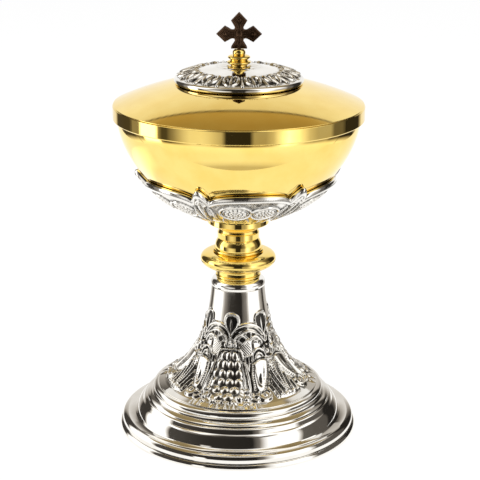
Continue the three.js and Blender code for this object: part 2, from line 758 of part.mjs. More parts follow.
// Finial: two rings and a ball, tapped from below for the stud and bored from above for the cross
function finial() {
  const upper = finialBottom + finialRingHeight;
  const ball = upper + finialUpperHeight;
  const webTop = finialTop - tangLength;
  const section = new THREE.Path();
  section.moveTo(0, finialBottom + studGrip + fit);
  section.lineTo(studBore, finialBottom + studGrip + fit);
  section.lineTo(studBore, finialBottom);
  section.lineTo(finialBaseRadius, finialBottom);
  section.lineTo(finialBaseRadius, finialBottom + finialFillet);
  const ringRise = finialRingHeight - finialFillet;
  bulgeTo(section, finialNeckRadius, upper, (finialRingRadius - finialNeckRadius) / ringRise);
  bulgeTo(section, finialBallRadius, ball, (finialUpperRadius - finialNeckRadius) / finialUpperHeight);
  bulgeTo(section, tangBore + edgeBreak, finialTop, 0.2);
  section.lineTo(tangBore, finialTop);
  section.lineTo(tangBore, webTop);
  section.lineTo(0, webTop);
  return piece('finial', revolve(section, smallSides, 4), gold);
}

function finialStud() {
  const top = finialBottom + studGrip;
  const bottom = finialNutBottom() - studTail;
  const geometry = new THREE.CylinderGeometry(studRadius, studRadius, top - bottom, boltSides);
  geometry.rotateX(Math.PI / 2);
  geometry.translate(0, 0, (top + bottom) / 2);
  return piece('finial_stud', geometry, brass);
}

// Underside of the dome at the edge of the washer
function finialWasherTop() {
  return domeCentre + Math.sqrt((domeCurve - domeSheet) ** 2 - finialWasherRadius ** 2) - fit;
}

function finialNutBottom() {
  return finialWasherTop() - finialWasherThickness - fit - finialNutHeight;
}

function finialWasher() {
  const top = finialWasherTop();
  const bottom = top - finialWasherThickness;
  return piece('finial_washer', ring(finialWasherRadius, studBore, bottom, top, boltSides), brass);
}

function finialNut() {
  return hexNut('finial_nut', finialNutFlats, studBore, finialNutHeight, finialNutBottom());
}

// Cross with four flared, pointed arms. The lowest ends in a foot, with a tang that enters the finial.
function cross() {
  const shoulder = crossArm - crossTip;
  const topShoulder = crossTop - crossTip;
  const near = 0.075 * shoulder;    // the four bays between the arms bend towards these
  const far = 0.33 * shoulder;
  const outline = new THREE.Shape();
  outline.moveTo(0, crossTop);
  outline.lineTo(-crossCorner, topShoulder);
  outline.bezierCurveTo(-near, far, -far, near, -shoulder, crossCorner);
  outline.lineTo(-crossArm, 0);
  outline.lineTo(-shoulder, -crossCorner);
  outline.bezierCurveTo(-far, -near, -near, -far, -crossFootHalf, crossFootEdge - crossFootDrop);
  outline.lineTo(-crossFootHalf, -crossFootDrop);
  outline.lineTo(-tangWidth / 2, -crossFootDrop);
  outline.lineTo(-tangWidth / 2, -crossFootDrop - tangLength + fit);
  outline.lineTo(tangWidth / 2, -crossFootDrop - tangLength + fit);
  outline.lineTo(tangWidth / 2, -crossFootDrop);
  outline.lineTo(crossFootHalf, -crossFootDrop);
  outline.lineTo(crossFootHalf, crossFootEdge - crossFootDrop);
  outline.bezierCurveTo(near, -far, far, -near, shoulder, -crossCorner);
  outline.lineTo(crossArm, 0);
  outline.lineTo(shoulder, crossCorner);
  outline.bezierCurveTo(far, near, near, far, crossCorner, topShoulder);
  outline.closePath();
  const options = { depth: crossThickness, bevelEnabled: false, curveSegments: 8 };
  const geometry = new THREE.ExtrudeGeometry(outline, options);
  geometry.translate(0, 0, -crossThickness / 2);
  geometry.rotateX(Math.PI / 2);
  geometry.translate(0, 0, crossCentre);
  return piece('cross', geometry, bronze);
}

const ciborium = new THREE.Group();
ciborium.name = 'ciborium';
ciborium.add(footRim(), footBase(), footCone());
ciborium.add(coneCollar(), stemSpool(), knop(), knopCollar(), stemBell(), stemRing(), cupFlange());
ciborium.add(tieRod(), rodWasher(), rodNut(), bowlSocket(), calyx(), bowl());
const lid = new THREE.Group();
lid.add(lidBand(), lidBezel(), lidDome(), discSeat(), lidDisc());
lid.add(finial(), finialStud(), finialWasher(), finialNut(), cross());
ciborium.add(lid);

export default ciborium;
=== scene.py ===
from math import pi, radians

import bpy
import numpy as np
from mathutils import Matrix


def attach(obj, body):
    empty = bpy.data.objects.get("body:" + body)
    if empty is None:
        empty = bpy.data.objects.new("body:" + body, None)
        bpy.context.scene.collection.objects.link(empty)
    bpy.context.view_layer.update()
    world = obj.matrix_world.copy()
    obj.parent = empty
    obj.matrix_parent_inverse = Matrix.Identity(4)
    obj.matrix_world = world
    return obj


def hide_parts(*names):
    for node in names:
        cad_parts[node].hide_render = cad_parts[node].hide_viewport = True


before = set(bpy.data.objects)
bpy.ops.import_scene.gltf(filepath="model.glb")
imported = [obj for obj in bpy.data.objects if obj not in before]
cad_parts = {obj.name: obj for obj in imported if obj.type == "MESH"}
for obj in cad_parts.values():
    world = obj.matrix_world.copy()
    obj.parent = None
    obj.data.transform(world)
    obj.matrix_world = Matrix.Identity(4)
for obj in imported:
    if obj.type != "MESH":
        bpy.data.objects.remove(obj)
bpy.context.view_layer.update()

# Foot rim: the rolled ring that the ciborium stands on, turned from brass and silver-plated,
# soldered under the edge of the spun base.
# Every turned piece here is a half section in mm, of radius R and height z, carried round the z axis.


def swell(start, end, share, steps=14):
    """A run from start to end that swells outwards by a share of its length: a quadratic curve whose middle
    point lies off the straight line by twice that share, square to it."""
    start, end = np.array(start, float), np.array(end, float)
    across, up = end - start
    middle = (start + end) / 2 + 2 * share * np.array([up, -across])
    return bend(start, middle, end, steps)


def bend(start, middle, end, steps=14):
    """Quadratic curve: (1-t)^2 start + 2t(1-t) middle + t^2 end, for t from 0 to 1."""
    t = np.linspace(0, 1, steps)[:, None]
    return (1 - t) ** 2 * np.array(start) + 2 * t * (1 - t) * np.array(middle) + t**2 * np.array(end)


def outline(*runs, ease=0.15, hold=0.06):
    """Joins runs of (R, z) points into one closed section. A pair of numbers is a corner reached in a straight
    line. Each corner is eased: both runs stop short of it by the same length, and a quadratic curve with the
    corner as its middle joins them. A point held inside each end of a run keeps its shading off the run."""
    shaped = []
    for run in runs:
        run = np.atleast_2d(np.array(run, float))
        if len(run) == 1:
            run = np.vstack([shaped[-1][-1] if shaped else run, run])
        shaped.append(run)
    shaped = [run for run in shaped if np.hypot(*(run[-1] - run[0])) > 0]
    shaped.append(np.vstack([shaped[-1][-1], shaped[0][0]]))
    trimmed = []
    for run in shaped:
        along = np.r_[0, np.cumsum(np.hypot(*np.diff(run, axis=0).T))]
        cut = min(ease, 0.3 * along[-1])
        keep = min(cut + hold, 0.4 * along[-1])
        inner = along[(along > keep) & (along < along[-1] - keep)]
        at = np.r_[cut, keep, inner, along[-1] - keep, along[-1] - cut]
        trimmed.append(np.column_stack([np.interp(at, along, run[:, 0]), np.interp(at, along, run[:, 1])]))
    section = []
    for k, run in enumerate(trimmed):
        following = trimmed[(k + 1) % len(trimmed)]
        section += [run, bend(run[-1], shaped[k][-1], following[0], 6)[1:-1]]
    return np.vstack(section)


def linked(name, data):
    """New object of a mesh, lamp or lens, in the scene."""
    made = bpy.data.objects.new(name, data)
    bpy.context.scene.collection.objects.link(made)
    return made


def grid_mesh(name, points, closed=True):
    """Mesh from a grid of points, rows along the section and columns round the axis. Faces join each point
    with the next column and the next row; closed joins the last row to the first too. A row whose points all
    coincide is a pole: it becomes one vertex, with triangles round it."""
    rows, columns = points.shape[:2]
    index = np.arange(rows * columns).reshape(rows, columns)
    pole = np.ptp(points, axis=1).max(-1) < 1e-6
    index[pole] = index[pole, :1]
    if closed:
        index = np.vstack([index, index[:1]])
    near, far = index[:-1], index[1:]
    quads = np.stack([near, np.roll(near, -1, 1), np.roll(far, -1, 1), far], -1).reshape(-1, 4)
    from_pole, to_pole = quads[:, 0] == quads[:, 1], quads[:, 2] == quads[:, 3]
    fans = np.vstack([quads[from_pole & ~to_pole][:, [0, 2, 3]], quads[to_pole & ~from_pole][:, :3]])
    quads = quads[~from_pole & ~to_pole]
    used, loops = np.unique(np.r_[quads.reshape(-1), fans.reshape(-1)], return_inverse=True)
    starts = np.r_[np.arange(0, quads.size, 4), quads.size + np.arange(0, fans.size, 3)]
    mesh = bpy.data.meshes.new(name)
    mesh.vertices.add(len(used))
    mesh.vertices.foreach_set("co", (points.reshape(-1, 3)[used].reshape(-1) / 1000).astype(np.float32))
    mesh.loops.add(len(loops))
    mesh.loops.foreach_set("vertex_index", loops.astype(np.int32))
    mesh.polygons.add(len(starts))
    mesh.polygons.foreach_set("loop_start", starts.astype(np.int32))
    mesh.polygons.foreach_set("use_smooth", np.ones(len(starts), bool))
    mesh.update(calc_edges=True)
    mesh.validate()
    return linked(name, mesh)


def carried(name, radius, height):
    """Carries rows of radius R and height z round the z axis, one column for each azimuth a: the point goes to
    (R sin a, -R cos a, z)."""
    angle = np.linspace(0, 2 * pi, radius.shape[1], endpoint=False)
    return grid_mesh(name, np.stack([radius * np.sin(angle), -radius * np.cos(angle), height], -1))


def outward(section):
    """Unit normal of each point of a closed section: its tangent turned outwards."""
    along = np.roll(section, -1, 0) - np.roll(section, 1, 0)
    along = along / np.hypot(*along.T)[:, None]
    return np.column_stack([along[:, 1], -along[:, 0]])


def turned(name, section, sides=256, lift=0):
    """Carries a closed half section round the z axis, each point moved by lift along the section's normal."""
    normal = outward(section)[:, None]
    points = section[:, None] + normal * np.broadcast_to(lift, (len(section), sides))[..., None]
    return carried(name, points[..., 0], points[..., 1])


def linear(hex_colour):
    """sRGB hex colour as linear RGBA."""
    parts = np.array([int(hex_colour[k : k + 2], 16) for k in (1, 3, 5)]) / 255
    light = np.where(parts <= 0.04045, parts / 12.92, ((parts + 0.055) / 1.055) ** 2.4)
    return (*light.tolist(), 1.0)


def new_material(name):
    material = bpy.data.materials.new(name)
    material.use_nodes = True
    material.node_tree.nodes.clear()
    return material, material.node_tree


def node(tree, kind, settings=None, stops=(), **inputs):
    """Adds a shader node. settings are its properties, stops a colour ramp's (position, hex colour) pairs, and
    inputs are values, or sockets to link, by an input's name, or by its number as in i0."""
    made = tree.nodes.new("ShaderNode" + kind)
    for key, value in (settings or {}).items():
        setattr(made, key, value)
    for k, (place, colour) in enumerate(stops):
        if k == len(made.color_ramp.elements):
            made.color_ramp.elements.new(place)
        made.color_ramp.elements[k].position = place
        made.color_ramp.elements[k].color = linear(colour)
    for key, value in inputs.items():
        name = key.replace("_", " ")
        socket = made.inputs[int(key[1:])] if key[0] == "i" and key[1:].isdigit() else made.inputs[name]
        if isinstance(value, bpy.types.NodeSocket):
            tree.links.new(value, socket)
        else:
            socket.default_value = value
    return made


def plated_metal(name, bright, toned, smooth, worn, recess=None):
    """Polished plate over brass. Cloudy patches about 15 mm wide vary the tone and the gloss a little, and
    buffing lines 0.4 mm apart break up the mirror. recess is the tone of the darkened hollows, if any."""
    material, tree = new_material(name)
    place = node(tree, "TexCoord").outputs["Object"]
    cloud = node(tree, "TexNoise", Vector=place, Scale=65.0, Detail=3.0).outputs["Fac"]
    tone = node(tree, "ValToRGB", stops=[(0.35, toned), (0.65, bright)], Fac=cloud).outputs["Color"]
    gloss = node(tree, "MapRange", Value=cloud, i1=0.3, i2=0.7, i3=smooth, i4=worn).outputs["Result"]
    stretch = node(tree, "Mapping", Vector=place, Scale=(60.0, 60.0, 2500.0)).outputs["Vector"]
    lines = node(tree, "TexNoise", Vector=stretch, Scale=1.0, Detail=2.0).outputs["Fac"]
    if recess:
        hollow = node(tree, "Attribute", {"attribute_name": "hollow"}).outputs["Fac"]
        tone = node(tree, "Mix", {"data_type": "RGBA"}, i0=hollow, i6=tone, i7=linear(recess)).outputs[2]
        duller = node(tree, "MapRange", Value=hollow, i3=0.0, i4=0.28).outputs["Result"]
        gloss = node(tree, "Math", {"operation": "ADD"}, i0=gloss, i1=duller).outputs[0]
    bump = node(tree, "Bump", Strength=0.012, Distance=0.00005, Height=lines).outputs["Normal"]
    shader = node(tree, "BsdfPrincipled", Base_Color=tone, Metallic=1.0, Roughness=gloss, Normal=bump)
    node(tree, "OutputMaterial", Surface=shader.outputs["BSDF"])
    return material


# Bright silver plate on polished brass: a neutral, slightly warm mirror.
silver = ("silver_plate", plated_metal("silver_plate", "#f5f3ef", "#edeae4", 0.04, 0.08))


def place_piece(piece, body, finish, *nodes):
    """Gives a piece the material of its finish, which is a slot and a material, puts it in its body and hides
    the nodes that it stands for. The slot is not used.
    """
    slot, material = finish
    piece.data.materials.append(material)
    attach(piece, body)
    if nodes:
        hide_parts(*nodes)


def turn_piece(cad_node, made, section, body, finish, sides=256):
    """A turned or spun piece that stands for one node and is named after it."""
    place_piece(turned(f"{cad_node}_{made}", section, sides), body, finish, cad_node)


RIM_OUTER = 69.2
RIM_INNER = 64.6
RIM_TOP = 2.8
rim_section = outline(
    (RIM_INNER, 0), (RIM_OUTER, 0), (RIM_OUTER, 0.84), swell((RIM_OUTER, 0.84), (67.4, RIM_TOP), 0.15),
    (RIM_INNER, RIM_TOP),
)
turn_piece("foot_rim", "ring", rim_section, "cup", silver)

# Foot base: sheet brass spun over a former into an ovolo, a torus, two steps, a bead and an upper ovolo,
# then silver-plated. Its flat ledge carries the cone.
BASE_SHIFT = 0.96
BASE_SHEET = 1.2
base_runs = [
    (67.4, 2.84), swell((67.4, 3), (64.4, 7.8), 0.3), swell((64.4, 7.8), (60.3, 8.1), -0.05), (59.6, 8.6),
    bend((59.6, 8.6), (58.4, 13.5), (55.6, 15.3)), (55, 16.6), swell((55, 16.6), (53.3, 18.1), 0.12),
    (53.1, 18.9), swell((53.1, 18.9), (50.5, 20.3), 0.06), swell((50.5, 20.3), (49.3, 21.9), 0.15),
    swell((49.3, 21.9), (47, 25.5), 0.25), (40.7, 25.5), (40.7, 24.3),
]
base_corners = [
    (47, 25.5), (49.3, 21.9), (50.5, 20.3), (53.1, 18.9), (53.3, 18.1), (55, 16.6), (55.6, 15.3), (59.6, 8.6),
    (60.3, 8.1), (64.4, 7.8),
]
base_inside = [(R - BASE_SHIFT, z - BASE_SHEET) for R, z in base_corners]
base_section = outline(*base_runs, *base_inside, (66.44, 2.84), ease=0.12)
turn_piece("foot_base", "spun", base_section, "cup", silver)

# Foot cone: a trumpet-shaped brass spinning, embossed all round from inside and chased from outside, then
# silver-plated and oxidised. It stands on the base's ledge and carries the stem.
CONE_SIDES = 520
ROD_BORE = 3.3
# The same bright silver with nearly black oxide left in its hollows, which draws the relief.
oxidised = plated_metal("oxidised_silver_plate", "#f6f4f0", "#eae7e0", 0.05, 0.1, "#1c1813")
oxidised_silver = ("silver_plate", oxidised)


def cubic(start, first, second, end, steps=24):
    """Cubic curve through start and end, drawn towards the two points between."""
    t = np.linspace(0, 1, steps)[:, None]
    ends = (1 - t) ** 3 * np.array(start) + t**3 * np.array(end)
    return ends + 3 * t * (1 - t) ** 2 * np.array(first) + 3 * t**2 * (1 - t) * np.array(second)


def flare(wide, bottom, narrow, top, steps):
    """The cone's side: a cubic curve, spreading at the bottom and nearly upright at the narrow top."""
    spread, drop = wide - narrow, top - bottom
    lower = (narrow + 0.22 * spread, bottom + 0.16 * drop)
    upper = (narrow + 0.06 * spread, top - 0.31 * drop)
    return cubic((wide, bottom), lower, upper, (narrow, top), steps)


cone_section = outline(
    (41.6, 25.54), (46.2, 25.54), (46.2, 26.22), (42.8, 27.2), flare(42.8, 27.2, 15.2, 84.6, 240),
    (ROD_BORE, 84.6), (ROD_BORE, 83.4), (14.0, 83.4), flare(41.6, 25.8, 14.0, 83.4, 10)[::-1],
)


def embossed_rows(section, first, last):
    """The rows of a section that lie between two of its corners, with their distance along it from the first
    corner and their radius."""
    start, end = [np.hypot(*(section - corner).T).argmin() for corner in (first, last)]
    steps = np.hypot(*np.diff(section[start : end + 1], axis=0).T)
    return slice(start, end + 1), np.r_[0, np.cumsum(steps)], section[start : end + 1, 0]


def smooth_path(points, steps=7):
    """Catmull-Rom curve through the points."""
    points = np.array(points, float)
    ends = np.vstack([2 * points[0] - points[1], points, 2 * points[-1] - points[-2]])
    t = np.linspace(0, 1, steps, endpoint=False)[:, None, None]
    before, start, end, after = (ends[k : k + len(points) - 1] for k in range(4))
    curve = 2 * start + (end - before) * t + (2 * before - 5 * start + 4 * end - after) * t**2
    curve = (curve + (3 * start - before - 3 * end + after) * t**3) / 2
    return np.vstack([curve.transpose(1, 0, 2).reshape(-1, 2), points[-1:]])


def squared_gap(field, points):
    """Squared distance in mm from each place of a field to each point; a field is (degrees, mm, radius)."""
    across, along, radius = field
    sideways = (across[..., None] - points[:, 0]) * np.radians(radius)[..., None]
    return sideways**2 + (along[..., None] - points[:, 1]) ** 2


def ridge(field, points, width, height):
    """Round-backed ridge along a smooth path: height sqrt(1 - (distance / half width)^2). width is one half
    width, or one for each of several places evenly spread along the path."""
    path = smooth_path(points)
    widths = np.interp(np.linspace(0, 1, len(path)), np.linspace(0, 1, np.size(width)), np.atleast_1d(width))
    nearest = (squared_gap(field, path) / widths**2).min(-1)
    return height * np.sqrt(np.clip(1 - nearest, 0, None))


def cushion(field, points, edge, height):
    """Raised form inside a smooth closed outline, rounded down over the width of its edge."""
    path = smooth_path([*points, points[0]], 4)[:-1]
    across, along, _ = field
    inside = np.zeros(across.shape, bool)
    for (a0, s0), (a1, s1) in zip(path, np.roll(path, -1, 0)):
        if s0 != s1:
            crossing = (s0 > along) != (s1 > along)
            inside ^= crossing & (across < a0 + (along - s0) * (a1 - a0) / (s1 - s0))
    depth = np.sqrt(squared_gap(field, path).min(-1)) / edge
    return np.where(inside, height * np.sqrt(1 - (1 - np.clip(depth, 0, 1)) ** 2), 0)


def boss(field, centre, half_across, half_along, height, fullness=0.5):
    """Half of an ellipsoid standing on the surface, or with fullness 1 a flatter paraboloid."""
    across, along, radius = field
    gap = ((across - centre[0]) * np.radians(radius) / half_across) ** 2
    gap = gap + ((along - centre[1]) / half_along) ** 2
    return height * np.clip(1 - gap, 0, None) ** fullness


def blurred(height, along, radius, size):
    """Gaussian blur of a height that runs all the way round, over a size in mm in both directions."""
    wave = np.fft.rfft(height, axis=1)
    wave = wave * np.exp(-0.5 * (np.arange(wave.shape[1]) * size / radius[:, None]) ** 2)
    round_about = np.fft.irfft(wave, height.shape[1], axis=1)
    weight = np.exp(-0.5 * ((along[:, None] - along) / size) ** 2) * np.gradient(along)
    return weight / weight.sum(1, keepdims=True) @ round_about


def clamped(share):
    """The share, kept between 0 and 1."""
    return np.clip(share, 0, 1)


def wrapped(angle, period):
    """The angle less whole periods, from minus half a period to half of one."""
    return angle - period * np.round(angle / period)


def field_of(angle, along, radius):
    """The field over a grid of places: azimuth in degrees, mm up the section and radius at each."""
    return np.broadcast_arrays(angle, along[:, None], radius[:, None])


def heaped(form, field, items, base=0):
    """The highest of several cushions, ridges or bosses at each place, and of what lies there already."""
    for item in items:
        base = np.maximum(base, form(field, *item))
    return base


def padded(shape, rows, part):
    """A grid of zeros with part in some of its rows."""
    grid = np.zeros(shape)
    grid[rows] = part
    return grid


def marked(piece, name, values):
    """Gives a piece an attribute that its material reads, such as how deep each point lies in a hollow."""
    layer = piece.data.attributes.new(name, "FLOAT", "POINT")
    layer.data.foreach_set("value", values.reshape(-1).astype(np.float32))


cone_rows, cone_along, cone_radius = embossed_rows(cone_section, (46.2, 26.22), (15.2, 84.6))
cone_degrees = np.arange(CONE_SIDES) * 360 / CONE_SIDES
# The bunches of grapes and the sheaves of leaves alternate, each under a bud. The six were set out by hand, a
# little unevenly: these are the azimuths of the buds, and those of an even division.
BUD_AZIMUTHS = [-63, -12.5, 47, 110, 172, 235, 297]
EVEN_AZIMUTHS = [-73.5, -13.5, 46.5, 106.5, 166.5, 226.5, 286.5]
even = np.interp((cone_degrees + 63) % 360 - 63, BUD_AZIMUTHS, EVEN_AZIMUTHS)
from_grapes = wrapped(even + 13.5, 120)
# Three fields: all of it, folded at the middle of each bunch, and folded again at each bud.
whole = field_of(from_grapes, cone_along, cone_radius)
folded = field_of(np.abs(from_grapes), cone_along, cone_radius)
halved = field_of(np.abs(wrapped(from_grapes, 60)), cone_along, cone_radius)
third, cone_s, cone_r = folded
sixth = halved[0]

# The bunch and the leaves stand out from the ground as broad flat-topped forms.
raised = heaped(cushion, folded, [
    ([(-1, 4.6), (10, 5), (16.6, 10), (18.4, 20), (16.4, 29), (11.4, 36.2), (-1, 36.8)], 5, 1.5),
    ([(31.2, 28.8), (29.8, 24), (29, 18), (29.4, 13.6), (32, 11.6), (38, 12.6), (43.6, 17.4), (48.2, 22),
      (51.8, 26.6), (53, 30), (46, 31.2), (38, 30.4)], 1.7, 1.7),
    ([(35, 37.2), (35.6, 40.6), (40, 42.4), (46, 42), (49.6, 38.6), (44, 37.4)], 1.2, 0.9),
    ([(60, 28.6), (54, 27), (50.4, 20), (47.2, 12), (46.4, 7.2), (52, 5.2), (60, 5), (68, 5.2), (73.6, 7.2),
      (72.8, 12), (69.6, 20), (66, 27)], 2.4, 1),
    ([(30.4, 9.6), (32.4, 5.4), (38, 4.6), (43, 7.2), (42.6, 11.4), (37, 12.4)], 1.6, 0.9),
])
# Raised lines: degrees from the middle of a bud, mm up from the border.
lines = heaped(ridge, halved, [
    ([(0.8, 44.6), (3.2, 46.6), (8, 49), (12.4, 51.4), (14, 53.8), (11.6, 56.3), (6, 57.4), (0, 57.7)],
     0.55, 0.9),
    ([(1.2, 44.6), (4, 47), (8, 48.9), (12.5, 50.1), (17.5, 50.8), (22.5, 51.3), (30, 51.5)],
     (0.5, 0.8, 1.15, 1.2), 1.2),
    ([(6.4, 42.4), (9.5, 44.3), (13, 45.4), (20, 46.8), (25, 47.5), (30, 47.7)], (0.6, 0.85, 0.9), 1.1),
    ([(0, 55.4), (0, 51), (0, 46.6)], (0.2, 0.95, 0.4), 0.45),
    ([(0, 45.4), (0, 40)], (0.65, 0.35), 1.3),
])
# Raised lines from the grapes to the sheaf: degrees from the middle of the bunch, to both sides.
lines = heaped(ridge, folded, [
    ([(0, 37.4), (8, 37.5), (14.5, 37.2), (17, 36.6)], 0.4, 1.7),
    ([(13.6, 37), (17.4, 35.6), (19.4, 32)], (0.5, 0.7, 0.4), 1.2),
    ([(24.8, 45.6), (30.5, 47.6), (36.2, 45.6), (30.5, 43.6), (24.8, 45.6)], 0.35, 0.8),
    ([(12.4, 42.6), (19, 45), (26.6, 43.2), (19.6, 40.8), (12.4, 42.6)], 0.35, 0.8),
    ([(22.4, 40.8), (26, 42.6), (31, 42.9), (36, 43.9), (42.5, 44.4), (47.5, 43.4), (52, 40.8), (54.6, 37)],
     (0.4, 0.7, 0.9, 1.15, 1), 1.3),
    ([(33, 30.6), (33.6, 33.8), (37.5, 36.2), (44, 37.2), (50, 36), (52.6, 32.4)], (0.6, 0.95, 0.85), 1.7),
    ([(37.6, 31.6), (40.4, 34), (46, 34.4), (49.4, 32.4)], (0.5, 0.95, 0.6), 1.4),
    ([(23.4, 29.4), (23.4, 32.4), (25.6, 33.8), (27.4, 31)], 0.4, 1.2),
    ([(27.8, 29.6), (28.2, 33), (30.8, 33.8), (32.2, 31)], 0.4, 1.2),
    ([(21.4, 29.6), (23.6, 25), (24.8, 20), (25, 15), (24.4, 10.6)], (0.6, 1.1, 1.2, 0.7), 1.8),
    ([(33, 12.4), (31.4, 8.6), (34.6, 5.8), (40, 6.6), (42.6, 9.8), (40.2, 12.4), (36.8, 11.4), (37, 9.2)],
     (0.6, 0.9, 0.5), 1.8),
    ([(23.4, 10.8), (25.6, 6.8), (29.2, 5.4), (30.6, 7.8), (28.6, 9.6)], (0.7, 0.6), 1.4),
    ([(53.4, 24.6), (55.8, 17), (58.2, 9)], (0.7, 1.1, 1), 2.2),
    ([(49.8, 19.2), (51.8, 14.6), (53.4, 8.4)], (0.5, 1, 0.9), 2),
    ([(46, 15.4), (47.8, 12), (48.6, 7.6)], (0.5, 0.9, 0.7), 1.7),
    ([(60, 28), (60, 17), (60, 7.4)], (0.7, 1.3, 1), 2.2),
    ([(52, 34.6), (54, 37.4), (60, 38.4)], (0.6, 0.75), 1.6),
    ([(52, 34.6), (54.2, 31.8), (60, 31)], (0.6, 0.75), 1.6),
    ([(53, 29.6), (55.8, 27.2), (60, 27.8)], (0.5, 0.9), 1.6),
    ([(55.6, 42.4), (57.8, 40.6), (60, 40.2)], (0.4, 0.7), 1.2),
], lines)
# Berries and curled tips.
lines = heaped(boss, folded, [
    ((60, 34.6), 1.5, 1.7, 1.7), ((53.4, 6.8), 1.3, 1.1, 1.8), ((48.4, 6.4), 1.1, 1, 1.6),
    ((58.6, 6.6), 1.3, 1.1, 1.8), ((20.4, 8), 1.5, 2, 1.3), ((21, 13), 1, 1.5, 1),
    ((19.6, 4.6), 1.4, 1.6, 1.2), ((26.6, 3.6), 1.5, 1.4, 1), ((8, 39.7), 1.35, 1.9, 1.2),
    ((2.4, 39.5), 0.75, 1.6, 1), ((37.6, 9), 1.2, 1, 1.6),
], lines)
raised = np.maximum(raised, lines)
# The grapes, one row after another: height up the cone, then degrees from the middle of the bunch.
GRAPE_SHARE = 0.078    # half a grape's width as a share of the cone's radius there
GRAPE_LENGTH = 2.7
GRAPE_HEIGHT = 0.85
BUNCH_HEIGHT = 1.25
grapes = 0
for height_up, places in {
    33.4: (-8.4, 0.3, 9), 28.4: (-12.4, -4.1, 4.2, 12.6), 23.2: (-15, -5.6, 4.4, 14.2),
    18: (-13.4, -4.6, 4.6, 13.6), 13: (-8.8, 0.4, 9.6), 8.6: (-4.6, 4.6),
}.items():
    across = GRAPE_SHARE * np.interp(height_up, cone_along, cone_radius)
    row = [((place, height_up), across, GRAPE_LENGTH, GRAPE_HEIGHT, 1.0) for place in places]
    grapes = heaped(boss, whole, row, grapes)
raised = np.maximum(raised, np.where(grapes > 0, BUNCH_HEIGHT + grapes, 0))
berries = [(-14.5, 9.4), (-9.5, 5.4), (-3.2, 4.2), (3.4, 4.0), (9.8, 5.0), (14.6, 8.6)]
raised = heaped(boss, whole, [(berry, 1.7, 2.3, 1.7) for berry in berries], raised)
# The ground between the arches and the leaves is stippled with a round punch.
punched = clamped(1 - ((third - 24) / 11) ** 2) * clamped(1 - ((cone_s - 37) / 5.5) ** 2)
PUNCH_STEP = 1.4
stipple = np.cos(2 * pi * np.radians(third) * cone_r / PUNCH_STEP) * np.cos(2 * pi * cone_s / PUNCH_STEP)
raised = np.maximum(raised, np.where(punched > 0, (0.35 + 0.3 * stipple) * clamped(3 * punched), 0))
# Hollows in which the oxide stays black. The chasing tool has cut the narrow ones down into the forms.
stain = 0
arch_cuts = [
    ([(3.4, 43.8), (7.5, 45.9), (12.5, 47.6), (18, 48.7), (23, 49.2), (29, 49.5)],
     (0.3, 0.6, 0.6, 0.45, 0.2), 0.6),
    ([(2, 45), (5.5, 46.9), (9.5, 48.5)], (0.2, 0.3, 0.2), 0.3),
]
leaf_cuts = [
    ([(30, 28.6), (28.4, 24), (27.4, 19), (27.6, 14), (29.2, 11)], (0.35, 0.55, 0.4), 0.9),
    ([(53.8, 29.4), (50.4, 22), (45.2, 16.4), (39.4, 12), (32.8, 10.4)], (0.35, 0.45, 0.35), 0.8),
    ([(33.8, 27.6), (33, 22), (33.8, 16.4), (36, 14.4)], (0.1, 0.35, 0.3), 0.5),
    ([(38.6, 22.6), (36.6, 19.4), (36.2, 16.4)], (0.2, 0.9, 0.3), 0.5),
    ([(46.8, 28.4), (43.4, 23.6), (41.2, 19)], (0.1, 0.35, 0.2), 0.5),
    ([(33, 29.6), (39, 30.8), (45, 31.4), (51.4, 31.2)], (0.3, 0.5), 0.6),
    ([(36, 31.6), (38.4, 34.2), (43, 35.6), (49, 35), (51, 32.4)], (0.3, 0.55), 0.5),
    ([(51.8, 22.4), (53.8, 15.4), (55.8, 8)], (0.4, 0.7, 0.6), 0.9),
    ([(48, 17), (49.8, 12.6), (50.8, 7)], (0.3, 0.55, 0.5), 0.9),
    ([(55.4, 25.4), (57.8, 17), (59.6, 8)], (0.5, 0.6, 0.3), 0.9),
    ([(15.4, 36.2), (19, 31), (21, 25), (21.8, 18), (21, 11), (17, 6.6)], (0.25, 0.35, 0.3), 0.4),
    ([(0, 38.3), (8, 38.5), (15, 38)], 0.4, 0.3),
    ([(0, 36.5), (7, 36.6), (13, 36)], 0.45, 0.3),
    ([(5.2, 38.4), (5, 41)], 0.45, 0.2),
    ([(12.4, 38.4), (12, 41.2)], 0.5, 0.2),
    ([(25.4, 29.6), (25.4, 32.4)], (0.6, 0.8), 0.4),
    ([(30, 29.8), (30, 32.6)], (0.5, 0.7), 0.4),
    ([(50.2, 44.2), (54.2, 41.2), (56.6, 37.8)], (0.3, 0.7), 0.6),
    ([(38, 40.8), (41, 41.2), (43.6, 40.6)], (0.2, 0.5, 0.2), 0.4),
    ([(46.4, 40.4), (48.8, 41.4)], 0.4, 0.3),
    ([(35.6, 45.4), (41, 45.9), (47, 45), (51, 42.8)], 0.25, 0.3),
    ([(54.6, 34.6), (56.6, 36.4), (60, 36.9)], 0.6, 0.3),
    ([(54.6, 34.6), (56.6, 32.8), (60, 32.5)], 0.6, 0.3),
    ([(51.2, 37.8), (54.6, 39.6), (60, 39.6)], (0.7, 0.5), 0.3),
]
cuts = [(halved, *cut) for cut in arch_cuts] + [(folded, *cut) for cut in leaf_cuts]
for field, points, width, depth in cuts:
    groove = ridge(field, points, width, 1)
    raised = raised - depth * groove
    stain = np.maximum(stain, clamped(1.6 * groove))
